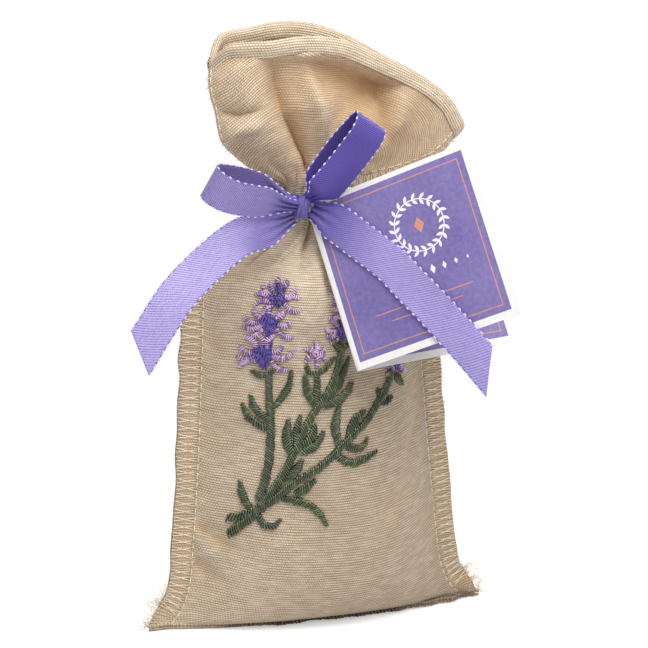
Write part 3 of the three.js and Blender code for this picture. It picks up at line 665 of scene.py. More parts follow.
LOBE_CREASE = [(-0.63, 2.95), (-0.59, 2.79), (-0.54, 2.64), (-0.42, 2.47), (-0.28, 2.29), (-0.1, 2.05)]
RIDGE = [(-0.42, 2.93), (-0.32, 2.77), (-0.22, 2.63), (-0.12, 2.48), (0.0, 2.3)]
SCOOP_CREASE = [(0.22, 2.93), (0.29, 2.84), (0.4, 2.76), (0.5, 2.67), (0.56, 2.56)]
RUFF_FOLDS = [
    fold(LOBE_CREASE, 0.09, 6.4, 1.25, 0.2),
    fold(RIDGE, 0.075, -3.4, 1.8),
    fold([(0.3, 2.08), (0.16, 2.4)], 0.09, 1.8),
    fold(SCOOP_CREASE, 0.065, 3.2, 1.2),
    fold([(0.45, 2.9), (0.56, 2.76), (0.66, 2.6)], 0.09, -2.4, 2),
    fold([(0.72, 2.2), (0.86, 2.6)], 0.08, 1.2),
    fold([(-0.98, 2.76), (-0.86, 2.7), (-0.72, 2.695)], 0.05, 3.2, 1.3),
    fold([(-0.95, 2.62), (-0.72, 2.6)], 0.09, -1.8, 2),
    fold([(-0.74, 2.15), (-0.8, 2.5)], 0.09, 1.0),
]
LOBE = {"u": -0.78, "climb": 0.6, "wide": 0.24, "tall": 0.4, "depth": -3.4 * MM}
SCOOP = {"u": 0.16, "climb": 0.74, "wide": 0.3, "tall": 0.28, "depth": 4.8 * MM}
HEM_SHADOW = {"left": -0.62, "right": 0.42, "start": 0.66, "end": 0.89, "stop": 0.93, "depth": 5.0 * MM}
BACK_RUFF_FOLDS = [
    fold([(-0.45, 2.1), (-0.4, 3.0)], 0.12, 3.2),
    fold([(-0.1, 2.1), (-0.12, 3.0)], 0.1, -2.0, 1.8),
    fold([(0.1, 2.1), (0.14, 3.0)], 0.09, 2.4),
    fold([(0.5, 2.1), (0.52, 3.0)], 0.13, 2.6),
    fold([(-0.8, 2.3), (-0.72, 2.8)], 0.08, 1.4),
]
FRONT_CREASES = [
    fold([(-0.15, 1.03), (-0.19, 0.95), (-0.21, 0.885)], 0.045, 3.0, 1.2, 0.1),
    fold([(-0.36, 0.985), (-0.5, 0.885)], 0.05, -1.3, 1.8),
    fold([(-0.14, 0.875), (-0.24, 0.72)], 0.26, -3.4, 2),
    fold([(-0.36, 0.93), (-0.52, 0.86)], 0.05, 1.2, 1.4),
    fold([(-0.62, 1.0), (-0.72, 0.87)], 0.06, 1.5),
    fold([(0.03, 1.0), (0.02, 0.9), (-0.01, 0.8)], 0.045, 1.5, 1.4),
    fold([(0.14, 0.98), (0.12, 0.84)], 0.045, -0.8, 1.8),
    fold([(0.3, 1.02), (0.24, 0.8)], 0.055, 1.5),
    fold([(0.55, 1.02), (0.6, 0.84)], 0.07, 1.4),
    fold([(-1.04, 0.26), (-0.87, 0.231), (-0.72, 0.2)], 0.05, 1.9, 1.6, 0.1),
    fold([(-1.04, 0.22), (-0.9, 0.185), (-0.8, 0.155)], 0.045, -0.9, 2, 0.1),
    fold([(-1.04, 0.17), (-0.93, 0.145), (-0.8, 0.11)], 0.05, 1.9, 1.6, 0.1),
    fold([(0.3, 0.24), (0.5, 0.289), (0.76, 0.36)], 0.09, 0.8, 1.8),
    fold([(1.02, 0.19), (0.8, 0.25)], 0.05, 1.2),
    fold([(0.7, 0.42), (0.8, 0.47), (0.92, 0.53)], 0.035, 0.9, 1.4),
    fold([(0.74, 0.53), (0.9, 0.57)], 0.04, 0.7, 1.5),
    fold([(-1.02, 0.5), (-0.88, 0.47)], 0.04, 0.7, 1.5),
    fold([(-1.02, 0.75), (-0.85, 0.68)], 0.05, 0.8, 1.5),
]
BACK_CREASES = [
    fold([(0.0, 1.02), (0.08, 0.8)], 0.05, 2.0, 1.4),
    fold([(-0.4, 1.02), (-0.5, 0.8)], 0.06, 1.6),
    fold([(0.4, 1.02), (0.52, 0.78)], 0.06, 1.6),
    fold([(1.0, 0.26), (0.6, 0.14)], 0.05, 1.3),
    fold([(-1.0, 0.24), (-0.62, 0.12)], 0.05, 1.3),
]
PLACE_SHARE = 2.6
LAST_FADE_SHARES = (-0.2, 0.45)


def fold_depth(folds, u, place):
    """Inward depth of all folds. A place counts PLACE_SHARE times as much as u."""
    total = np.zeros(np.broadcast(u, place).shape)
    for item in folds:
        line = item["points"] * (1, PLACE_SHARE)
        lengths = np.linalg.norm(np.diff(line, axis=0), axis=1)
        starts = np.concatenate([[0], np.cumsum(lengths)])
        nearest = np.full(total.shape, np.inf)
        share = np.zeros(total.shape)
        for a, b, length, start in zip(line, line[1:], lengths, starts):
            run = b - a
            t = np.clip(((u - a[0]) * run[0] + (place * PLACE_SHARE - a[1]) * run[1]) / length**2, 0, 1)
            apart = np.hypot(u - a[0] - t * run[0], place * PLACE_SHARE - a[1] - t * run[1])
            share = np.where(apart < nearest, (start + t * length) / starts[-1], share)
            nearest = np.minimum(nearest, apart)
        fade = smoothstep(share, -item["fade"], item["fade"]) * smoothstep(1 - share, *LAST_FADE_SHARES)
        total += item["depth"] * fade * np.exp(-((nearest / item["spread"]) ** item["sharp"]))
    return total


def waves(u, v, seed, scale, count=14):
    """Smooth random unevenness, about -1 to 1, with bumps of about the scale given."""
    own = np.random.default_rng(seed)
    total = np.zeros(np.broadcast(u, v).shape)
    for _ in range(count):
        angle, phase = own.uniform(0, 2 * math.pi, 2)
        pitch = scale * own.uniform(0.7, 1.6)
        total += np.sin(2 * math.pi * (u * math.cos(angle) + v * math.sin(angle)) / pitch + phase)
    return total / math.sqrt(count)


def mound(item, u, climb):
    off = ((u - item["u"]) / item["wide"]) ** 2 + ((climb - item["climb"]) / item["tall"]) ** 2
    return item["depth"] * np.exp(-off)


LUMP_HEIGHT = 0.5 * MM
LUMP_SCALE = 26 * MM
PUCKER_HEIGHT = 0.3 * MM
PUCKER_SCALE = 7 * MM
RUFF_RIPPLE = 0.3 * MM
RIPPLE_SCALE = 12 * MM
RIM_DIP = {"u": 0.2, "wide": 0.36, "climbs": (0.4, 1), "depth": 2.4 * MM}
RADIAL_PLEAT = 0.45 * MM
RADIAL_PLEATS = 9
RADIAL_PLEAT_TOP_SHARE = 0.45
CLOTH_CLEARANCE = 0.95 * MM
SEAM_SHARES = (0.95, 1.0)
PUCKER_SHARES = (0.72, 0.93)
PUCKER_STRETCH_SHARE = 0.2
FREE_END_SHARE = 0.08
BOTTOM_END_SHARE = 0.06
HEM_SHADOW_EDGE_SHARE = 0.3
HEM_HELD_SHARES = (0.9, 0.95)
HEM_HELD_SHARE = 0.85
NECK_HELD_SHARES = (0, 0.2)


def body_dent(side, u, place):
    return fold_depth(FRONT_CREASES if side < 0 else BACK_CREASES, u, place)


def ruff_dent(side, u, climb):
    dent = fold_depth(RUFF_FOLDS if side < 0 else BACK_RUFF_FOLDS, u, climb + 2)
    if side < 0:
        dent = dent + mound(SCOOP, u, climb) + mound(LOBE, u, climb)
        under = HEM_SHADOW
        window = smoothstep(u, under["left"], under["left"] + HEM_SHADOW_EDGE_SHARE)
        window = window * (1 - smoothstep(u, under["right"] - HEM_SHADOW_EDGE_SHARE, under["right"]))
        rise = smoothstep(climb, under["start"], under["end"])
        rise = rise * (1 - smoothstep(climb, under["end"], under["stop"]))
        dent = dent + under["depth"] * window * rise
    hem = 1 - HEM_HELD_SHARE * smoothstep(climb, *HEM_HELD_SHARES)
    return dent * smoothstep(climb, *NECK_HELD_SHARES) * hem


def body_surface(side, u, place):
    grid = body_point(side, u, place)
    free = smoothstep(place, 0, FREE_END_SHARE) * smoothstep(1 - place, 0, FREE_END_SHARE)
    free = (1 - np.abs(u) ** 4) * free
    x, z = u * BASE_HALF_WIDTH, place * TIE_HEIGHT
    lumps = LUMP_HEIGHT * waves(x, z, 11 + side, LUMP_SCALE) * free
    seam_room = 1 - smoothstep(np.abs(u), *SEAM_SHARES)
    near_seam = smoothstep(np.abs(u), *PUCKER_SHARES) * seam_room
    puckers = PUCKER_HEIGHT * waves(x * PUCKER_STRETCH_SHARE, z, 23 + side, PUCKER_SCALE) * near_seam
    rise = smoothstep(place, 0, BOTTOM_END_SHARE)
    grid[..., 1] += side * (lumps + puckers * rise - body_dent(side, u, place) * seam_room * rise)
    return grid


def ruff_own(side, u, climb):
    grid = ruff_point(side, u, climb)
    free = np.sin(math.pi * np.clip(climb, 0, 1)) ** 0.6
    edge = 1 - smoothstep(np.abs(u), *SEAM_SHARES)
    ripple = RUFF_RIPPLE * waves(u * BASE_HALF_WIDTH, climb * RUFF_RADIUS, 31 + side, RIPPLE_SCALE) * free
    pleat = RADIAL_PLEAT * np.sin(RADIAL_PLEATS * math.pi * u + 2 * climb)
    pleat = pleat * smoothstep(RADIAL_PLEAT_TOP_SHARE - climb, 0, 0.4)
    pleat = pleat * smoothstep(climb, 0, BOTTOM_END_SHARE)
    grid[..., 1] += side * (ripple + pleat - ruff_dent(side, u, climb)) * edge
    near = np.exp(-(((u - RIM_DIP["u"]) / RIM_DIP["wide"]) ** 2))
    dip = RIM_DIP["depth"] * near * smoothstep(climb, *RIM_DIP["climbs"])
    angle = lerp(RUFF_LEFT_ANGLE, RUFF_RIGHT_ANGLE, (u + 1) / 2)
    grid[..., 0] -= np.sin(angle) * dip
    grid[..., 2] -= np.cos(angle) * dip
    return grid


def ruff_surface(side, u, climb):
    grid = ruff_own(side, u, climb)
    if side > 0:
        front = ruff_own(-1, u, climb)
        grid[..., 1] = np.maximum(grid[..., 1], front[..., 1] + CLOTH_CLEARANCE)
    return grid


def cloth_surface(side, u, place):
    u, place = np.broadcast_arrays(np.asarray(u, float), np.asarray(place, float))
    body = body_surface(side, u, np.clip(place, 0, 1))
    ruff = ruff_surface(side, u, np.clip(place - 2, 0, 1))
    return np.where((place > 1)[..., None], ruff, body)


WARM_BODY_SHARE = 0.08
WARM_RUFF_SHARE = 0.36
WARM_ALLOWANCE_SHARE = 0.3
WARM_DEPTH = 5 * MM
WARM_DENT_SHARE = 0.3
WARM_VALLEY = {"u": 0.52, "climb": 0.5, "wide": 0.3, "tall": 0.32, "depth": 0.4}


def cloth_warmth(side, u, place):
    """Painted warm light that the cloth throws on itself: a little over all the body,
    more in its folds and dents, over the whole ruff and in a valley of the front ruff.
    """
    u, place = np.broadcast_arrays(np.asarray(u, float), np.asarray(place, float))
    body = WARM_BODY_SHARE + body_dent(side, u, np.clip(place, 0, 1)) / WARM_DEPTH
    climb = np.clip(place - 2, 0, 1)
    ruff = WARM_RUFF_SHARE * smoothstep(climb, *NECK_HELD_SHARES)
    ruff = ruff + WARM_DENT_SHARE * ruff_dent(side, u, climb) / WARM_DEPTH
    if side < 0:
        ruff = ruff + mound(WARM_VALLEY, u, climb)
    return np.clip(np.where(place > 1, ruff, body), 0, 1)


# Shares of the painted shade over the body and the mouth.
BODY_SHADE_SHARE = 0.56
BODY_SHADE_LEFT_SHARE = 0.5
BODY_SHADE_TOP_SHARES = (0.72, 0.9)
BODY_SHADE_SIDE_SHARES = (-0.7, 0.1)
RUFF_SHADE = {
    -1: [
        {"u": 0.62, "climb": 0.78, "wide": 0.24, "tall": 0.3, "depth": 0.6},
        {"u": -0.55, "climb": 0.6, "wide": 0.4, "tall": 0.3, "depth": 0.2},
    ],
    1: [],
}


def cloth_body_shade(side, u, place):
    """Painted shade: the cloth is darker and greyer over the body up to near the tie,
    half as much at its left side, and in two places on the front of the mouth.
    """
    u, place = np.broadcast_arrays(np.asarray(u, float), np.asarray(place, float))
    body = BODY_SHADE_SHARE * (1 - smoothstep(place, *BODY_SHADE_TOP_SHARES))
    body = body * lerp(BODY_SHADE_LEFT_SHARE, 1, smoothstep(u, *BODY_SHADE_SIDE_SHARES))
    climb = np.clip(place - 2, 0, 1)
    ruff = sum((mound(item, u, climb) for item in RUFF_SHADE[side]), np.zeros(u.shape))
    return np.where(place > 1, ruff, body)


LEFT_FOLD_BACK = math.radians(114)
RIGHT_FOLD_BACK = math.radians(25)
RIGHT_CORNER_FOLD = math.radians(38)
FOLD_BACK_PLACES = (2.05, 2.35)
CORNER_FOLD_PLACES = (2.6, 2.9)


def fold_back(end, places):
    """How far the allowance above the tie turns back, in radians."""
    if end < 0:
        return LEFT_FOLD_BACK * smoothstep(places, *FOLD_BACK_PLACES)
    corner = RIGHT_CORNER_FOLD * smoothstep(places, *CORNER_FOLD_PLACES)
    return RIGHT_FOLD_BACK * smoothstep(places, *FOLD_BACK_PLACES) + corner


def seam_outward(end, places):
    """Direction in which the allowance leaves the side seam, at each place."""
    step = 0.01
    body = places <= 1
    low = np.where(body, np.clip(places - step, 0, 1), np.clip(places - step, 2, 3))
    high = np.where(body, np.clip(places + step, 0, 1), np.clip(places + step, 2, 3))
    u = np.full_like(places, end)
    way = unit(cloth_surface(-1, u, high) - cloth_surface(-1, u, low))
    out = np.stack([end * np.abs(way[:, 2]), 0 * places, -end * way[:, 0] * np.sign(way[:, 2])], -1)
    flat = smoothstep(places, 0, 0.03)[:, None]
    plain = np.array([end, 0, 0])
    return unit(np.where(body[:, None], lerp(plain, out, flat), out))


COLUMNS = 141
ALLOWANCE_SHARES = [0.2, 0.6, 1.0]
ALLOWANCE_COLUMNS = len(ALLOWANCE_SHARES)
SEAM_COLUMNS = {-1: ALLOWANCE_COLUMNS, 1: -1 - ALLOWANCE_COLUMNS}
EDGE_COLUMNS = {-1: 0, 1: -1}
ALLOWANCE_WAVE_SHARE = 0.05
ALLOWANCE_WAVE_SCALE = 9 * MM
FLUTTER = 0.25 * MM
FLUTTER_SCALE = 14 * MM
PLACE_STEPS = 600
COLUMN_CROWDING = 1.25
BODY_ROWS = 150
RUFF_ROWS = 64
u_steps = np.linspace(-1, 1, COLUMNS)
u_fine = np.sign(u_steps) * (1 - (1 - np.abs(u_steps)) ** COLUMN_CROWDING)
u_held = np.concatenate([[-1.0] * ALLOWANCE_COLUMNS, u_fine, [1.0] * ALLOWANCE_COLUMNS])


def even_places(side, first, last, count):
    """Places whose rows lie evenly along the middle of the panel."""
    fine = np.linspace(first, last, PLACE_STEPS)
    line = cloth_surface(side, np.zeros_like(fine), fine)
    run = run_of(line)
    return np.interp(np.linspace(0, run[-1], count), run, fine)


def with_allowance(side, places, grid):
    """Adds the columns of the seam allowance to both ends of each row."""
    ends = []
    for end, column in ((-1, grid[:, 0]), (1, grid[:, -1])):
        flat = seam_outward(end, places)
        lean = fold_back(end, places)[:, None]
        turned = flat * np.cos(lean) + np.array([0, 1.0, 0]) * np.sin(lean)
        wrap = 2 * PLY_OFFSET * np.sin(lean) if side < 0 else 0 * lean
        uneven = ALLOWANCE_WAVE_SHARE * waves(places * TIE_HEIGHT, 0, 41 + end, ALLOWANCE_WAVE_SCALE)
        reach = allowance(places) * (1 + uneven)
        flutter = FLUTTER * waves(places * TIE_HEIGHT, 0, 43 + end, FLUTTER_SCALE)
        strips = []
        for share in ALLOWANCE_SHARES:
            strip = column + turned * (reach * share)[:, None] + flat * wrap * smoothstep(share, 0, 0.4)
            strip[:, 1] += flutter * share**2 * smoothstep(places, 0, 0.1)
            strips.append(strip)
        ends.append(strips)
    left = np.stack(ends[0][::-1], 1)
    right = np.stack(ends[1], 1)
    return np.concatenate([left, grid, right], 1)


def panel_u():
    """Distance across the flat panel from its middle, for each column."""
    inner = u_fine * BASE_HALF_WIDTH
    out = BASE_HALF_WIDTH + np.array(ALLOWANCE_SHARES) * SEAM_ALLOWANCE
    return np.concatenate([-out[::-1], inner, out])


def run_along(grid):
    """Mean distance along the cloth from its first row to each row."""
    middle = grid[:, ALLOWANCE_COLUMNS:-ALLOWANCE_COLUMNS]
    steps = np.linalg.norm(np.diff(middle, axis=0), axis=2).mean(1)
    return np.concatenate([[0], np.cumsum(steps)])


FLOOR_ROWS = 24
FLOOR_FLAT_SHARE = 0.8
BACK_FIRST_PLACE = 0.03


def floor_rows():
    """The back panel also makes the floor of the bag, flat but for its corners."""
    walk = np.linspace(0, 1, FLOOR_ROWS, endpoint=False)[:, None]
    u = u_fine[None, :]
    first = cloth_surface(1, u_fine, np.full_like(u_fine, BACK_FIRST_PLACE))[None]
    seam = body_point(-1, u_fine, np.zeros_like(u_fine))[None]
    reach = BELLY_BACK_DEPTH * BACK_SHARES[0][1] * (1 - np.abs(u) ** SIDE_ROUNDNESS)
    corner = np.clip((np.abs(u) - FLOOR_FLAT_SHARE) / (1 - FLOOR_FLAT_SHARE), 0, 1) ** 2
    aside = lerp(seam[..., 1], PLY_OFFSET, np.minimum(walk * 4, 1))
    x = lerp(seam[..., 0], first[..., 0], walk)
    y = lerp(seam[..., 1], PLY_OFFSET + reach, walk) * (1 - corner) + aside * corner
    z = lerp(BACK_PLY_HEIGHT, first[..., 2], walk**3 * corner)
    grid = np.stack(np.broadcast_arrays(x, y, z), -1)
    ends = []
    for end, column in ((-1, grid[:, 0]), (1, grid[:, -1])):
        away = np.array([end * SEAM_ALLOWANCE, 0, 0])
        ends.append([column + away * share for share in ALLOWANCE_SHARES])
    return np.concatenate([np.stack(ends[0][::-1], 1), grid, np.stack(ends[1], 1)], 1)


LIP_SHARES = (0.36, 0.27, 0.18, 0.08)
LIP_ROWS = len(LIP_SHARES)
LIP_WAVE_SHARE = 0.3
LIP_WAVE_SCALE = 7 * MM
TUCKED_SHARE = 0.2
TUCKED_SIDE_SHARES = (-0.62, -0.3)


def bottom_allowance(row):
    """The allowance of the bottom seam, pressed forward on the ground."""
    tucked = lerp(TUCKED_SHARE, 1, smoothstep(panel_u() / BASE_HALF_WIDTH, *TUCKED_SIDE_SHARES))
    wavy = (1 + LIP_WAVE_SHARE * waves(panel_u(), 0, 47, LIP_WAVE_SCALE)) * tucked
    rows = []
    for share in LIP_SHARES:
        line = row.copy()
        line[:, 1] -= SEAM_ALLOWANCE * share * wavy
        line[:, 2] += EDGE_LIFT * min(1, share * 2)
        rows.append(line)
    return np.stack(rows)


def panel_grid(side):
    first = 0 if side < 0 else BACK_FIRST_PLACE
    body = even_places(side, first, 1, BODY_ROWS)
    ruff = even_places(side, 2, 3, RUFF_ROWS)
    places = np.concatenate([body, ruff])
    grid = cloth_surface(side, u_fine[None, :], places[:, None])
    grid = with_allowance(side, places, grid)
    if side > 0:
        lead = floor_rows()
        grid = np.concatenate([lead, grid])
        places = np.concatenate([np.zeros(len(lead)), places])
    lead = bottom_allowance(grid[0])
    grid = np.concatenate([lead, grid])
    places = np.concatenate([np.zeros(len(lead)), places])
    return grid, places


OWN_RUN_SHARE = 0.7
OWN_RUN_SPREAD = 31


def panel_uv(grid):
    """Millimetres across and along the cloth, and the panel's length. The run
    along each column is mostly its own, smoothed over its neighbours."""
    run = run_along(grid)
    steps = np.linalg.norm(np.diff(grid, axis=0), axis=2)
    own = np.concatenate([np.zeros((1, steps.shape[1])), np.cumsum(steps, axis=0)])
    kernel = np.hanning(OWN_RUN_SPREAD + 2)
    ends = ((0, 0), (OWN_RUN_SPREAD // 2 + 1, OWN_RUN_SPREAD // 2 + 1))
    padded = np.pad(own, ends, "edge")
    own = np.stack([np.convolve(row, kernel / kernel.sum(), "valid") for row in padded])
    own = lerp(run[:, None], own, OWN_RUN_SHARE)
    u = np.broadcast_to(panel_u() / MM, grid.shape[:2])
    return np.stack([u, (own - own[LIP_ROWS]) / MM], -1), run[-1]


def panel_warmth(side, places):
    warmth = cloth_warmth(side, u_held[None, :], places[:, None])
    # The raw allowances are tinted warmer.
    warmth[:, :ALLOWANCE_COLUMNS] = WARM_ALLOWANCE_SHARE
    warmth[:, -ALLOWANCE_COLUMNS:] = WARM_ALLOWANCE_SHARE
    return warmth


# Where the painted shade on the raw bottom lip lies, and how dark it is.
LIP_DARK_LEFT_SHARES = (-0.75, -0.35)
LIP_DARK_RIGHT_SHARES = (0.3, 0.75)
LIP_RIGHT_PALE_SHARE = 0.6
LIP_SHADE_SHARES = (0.3, 1.0)
SEAM_SHADE_SHARE = 0.5


def panel_lip_shade(shape):
    """Painted shade on the raw lip on the ground, under the overhang of the belly:
    dark but for its ends, and a little on the seam row above it.
    """
    x = panel_u() / BASE_HALF_WIDTH
    dark = smoothstep(x, *LIP_DARK_LEFT_SHARES)
    dark = dark * (1 - LIP_RIGHT_PALE_SHARE * smoothstep(x, *LIP_DARK_RIGHT_SHARES))
    lip_shade = np.zeros(shape)
    lip_shade[:LIP_ROWS] = lerp(*LIP_SHADE_SHARES, dark)
    lip_shade[LIP_ROWS] = SEAM_SHADE_SHARE * dark
    return lip_shade


def make_panel(name, side):
    grid, places = panel_grid(side)
    uv, length = panel_uv(grid)
    # Painted warm light, painted shade on the lip and painted shade over the body, for the material.
    tones = {
        "warmth": panel_warmth(side, places),
        "lip_shade": panel_lip_shade(grid.shape[:2]),
        "body_shade": cloth_body_shade(side, u_held[None, :], places[:, None]),
    }
    way = slice(None, None, -side)
    points, faces, uv = two_layers(grid[:, way], CLOTH_THICKNESS, uv[:, way])
    tones = {tone: np.concatenate([shares[:, way].ravel()] * 2) for tone, shares in tones.items()}
    piece = make_piece(name, points, faces, [CLOTH], uv, **tones)
    return piece, grid, length


front_cloth, front_grid, front_length = make_panel("front_cloth", -1)
back_cloth, back_grid, back_length = make_panel("back_cloth", 1)


# Rolled hem round the mouth

HEM_DEPTH = 4.3 * MM
HEM_HALF_THICKNESS = 1.1 * MM
FLAT_HEM_SHARE = 0.7
HEM_MERGE_SHARE = 0.8
HEM_MERGE_SHARES = (-0.75, -0.45)
HEM_SUNK_SHARES = (0.25, 0.95)
FLAT_HEM_SHARES = (0.1, 0.5)
HEM_END_SHARE = 0.5
HEM_END_COLUMNS = (-2, 4)
HEM_RUN = 100 * MM
HEM_WAVE_SHARE = 0.22
HEM_WAVE_SCALE = 11 * MM
HEM_CLEARANCE = 0.08 * MM
HEM_LEAST_THICKNESS = 0.34 * MM
HEM_LOWER_CLIMB = 0.94
HEM_PROFILE = [
    (1.0, 0.1), (1.02, 0.5), (0.96, 0.85), (0.8, 1.05), (0.55, 1.12), (0.3, 1.05), (0.1, 0.82), (-0.05, 0.42),
    (-0.1, 0.0), (-0.05, -0.42), (0.1, -0.82), (0.3, -1.05), (0.55, -1.12), (0.8, -1.05), (0.96, -0.85),
    (1.02, -0.5), (1.0, -0.1),
]


def rim_ways(side):
    """Directions down the cloth and out of it, along the rim and its allowances."""
    rim = cloth_surface(side, u_fine, np.full_like(u_fine, 3.0))
    lower = ruff_point(side, u_fine, np.full_like(u_fine, HEM_LOWER_CLIMB))
    top = ruff_point(side, u_fine, np.ones_like(u_fine))
    down = unit(lower - top)
    out = unit(np.cross(np.gradient(rim, axis=0), down))
    out = out * np.sign(out[:, 1:2] * side)
    ends = []
    for end, column in ((-1, 0), (1, -1)):
        lean = fold_back(end, np.array([3.0]))[0]
        spin = np.array(Matrix.Rotation(end * lean, 3, Vector(down[column])))
        turned = out[column] @ spin.T
        if (turned @ np.array([end, 0, 0])) * -side < 0:
            turned = out[column] @ spin
        ends.append([turned] * ALLOWANCE_COLUMNS)
    out = np.concatenate([ends[0], out, ends[1]])
    down = np.concatenate([[down[0]] * ALLOWANCE_COLUMNS, down, [down[-1]] * ALLOWANCE_COLUMNS])
    return down, out


def hem_strip(name, side, grid, other, length):
    """Cloth folded over the edge and turned in, as a soft rolled band."""
    rim = grid[-1]
    down, out = rim_ways(side)
    count = len(rim)
    wave = 1 + HEM_WAVE_SHARE * waves(np.linspace(0, HEM_RUN, count), 0, 51 + side, HEM_WAVE_SCALE)
    outer = HEM_HALF_THICKNESS * wave
    room = np.linalg.norm(rim - other[-1], axis=1) / 2 - HEM_CLEARANCE
    inner = np.clip(room, HEM_LEAST_THICKNESS, outer)
    index = np.arange(count)
    fade = smoothstep(index, *HEM_END_COLUMNS) * smoothstep(count - 1 - index, *HEM_END_COLUMNS)
    across = np.clip(panel_u() / BASE_HALF_WIDTH, -1, 1)
    flat_right = smoothstep(across, *FLAT_HEM_SHARES)
    outer = outer * lerp(HEM_END_SHARE, 1, fade) * lerp(1, FLAT_HEM_SHARE, flat_right)
    inner = np.minimum(inner, outer)
    merged = 1 - smoothstep(across, *HEM_MERGE_SHARES)
    rows = []
    for d, h in HEM_PROFILE:
        sunk = 1 - HEM_MERGE_SHARE * merged * smoothstep(d, *HEM_SUNK_SHARES)
        rows.append(rim + down * (HEM_DEPTH * d) + out * (np.where(h > 0, outer, inner) * h * sunk)[:, None])
    grid = np.stack(rows)
    ring = run_of(grid[:, count // 2])
    u = np.broadcast_to(panel_u() / MM, grid.shape[:2])
    v = np.broadcast_to(ring[:, None] / MM + length / MM, grid.shape[:2])
    rows = len(HEM_PROFILE)
    faces = grid_faces(rows, count, ring=True)
    caps = [[i * count for i in range(rows)], [i * count + count - 1 for i in range(rows)][::-1]]
    if side > 0:
        faces = faces[:, ::-1]
        caps = [cap[::-1] for cap in caps]
    # A faint painted warm light on the hem, as on the body.
    warmth = np.full(grid.shape[:2], WARM_BODY_SHARE)
    return make_piece(name, grid, faces.tolist() + caps, [CLOTH], np.stack([u, v], -1), warmth=warmth)


front_hem = hem_strip("front_hem", -1, front_grid, back_grid, front_length)
back_hem = hem_strip("back_hem", 1, back_grid, front_grid, back_length)


# Thread round the raw edges, the line of stitches, and the frayed fibres

STITCH_PITCH = 2.2 * MM
OVERLOCK_START = 4 * MM
OVERLOCK_END_GAP = 3 * MM
SEAM_STITCH_LIFT = CLOTH_THICKNESS / 2 + THREAD_RADIUS * 1.6
OVERLOCK_STROKES = ((STITCH_PITCH * 0.75, 0.02), (-STITCH_PITCH * 0.3, 0.08))
# Threads right of this share of the half width lie on the shaded lip and are darker.
LIP_SHADE_FROM_SHARE = -0.45


def edge_lines(grid, end):
    """Stitch line and raw edge of a panel at its left or right side."""
    body = grid[LIP_ROWS:]
    return body[:, SEAM_COLUMNS[end]], body[:, EDGE_COLUMNS[end]]


def overlock(heap, front, back, end, start, stop):
    """Loops of thread from the stitch line over the raw edge and back."""
    lift = CLOTH_THICKNESS / 2 + THREAD_RADIUS

    def facing(pair):
        tangent = unit(np.gradient(pair[0], axis=0))
        return end * unit(np.cross(pair[1] - pair[0], tangent))

    strips = [(front, facing(front), 1), (back, facing(back), -1)]
    runs = [run_of(strip[0][0]) for strip in strips]
    runs[1] = runs[1] * runs[0][-1] / runs[1][-1]
    count = int((stop - start) / STITCH_PITCH)
    at = start + (np.arange(count) + rng.uniform(-0.12, 0.12, count)) * STITCH_PITCH

    def on(layer, steps, share, height):
        (stitch, edge), normal, way = strips[layer]
        point = lerp(resample(stitch, runs[layer], steps), resample(edge, runs[layer], steps), share)
        return point + resample(normal, runs[layer], steps) * (way * height * lift)

    for lean, reach in OVERLOCK_STROKES:
        rows = [on(0, at + lean * (share - 0.5), share, 1) for share in np.linspace(reach, 1.0, 6)]
        nose = on(0, at + lean * 0.5, 1.0 + 2.2 * THREAD_RADIUS / SEAM_ALLOWANCE, -0.6)
        rows.append(nose)
        rows += [on(1, at + lean * (share - 0.5), share, 1) for share in np.linspace(1.0, reach, 5)]
        heap.add_tubes(np.stack(rows, 1), THREAD_RADIUS, (0.0, 0.3, 1.0))


def stitch_line(heap, line, lift, side):
    """A row of lock stitches, each a short thread that dips at both ends."""
    run = run_of(line)
    length, gap = STITCH_PITCH * 1.05, STITCH_PITCH * 0.12
    at = np.arange(gap, run[-1] - length, length + gap)
    rows = []
    for share, height in ((0, 0.1), (0.15, 0.8), (0.5, 1.0), (0.85, 0.8), (1, 0.1)):
        point = resample(line, run, at + length * share)
        point[:, 1] += side * lift * height
        rows.append(point)
    heap.add_tubes(np.stack(rows, 1), THREAD_RADIUS * 1.1, (1.0, 0.0, 0.3))


def side_threads(name, end):
    heap = Heap()
    front = edge_lines(front_grid, end)
    back = edge_lines(back_grid[FLOOR_ROWS:], end)
    total = run_of(front[0])[-1]
    overlock(heap, front, back, end, OVERLOCK_START, total - OVERLOCK_END_GAP)
    stitch_line(heap, front[0], SEAM_STITCH_LIFT, -1)
    stitch_line(heap, back[0], SEAM_STITCH_LIFT, 1)
    return heap.piece(name, [SEAM_THREAD])


left_threads = side_threads("left_overlock", -1)
right_threads = side_threads("right_overlock", 1)


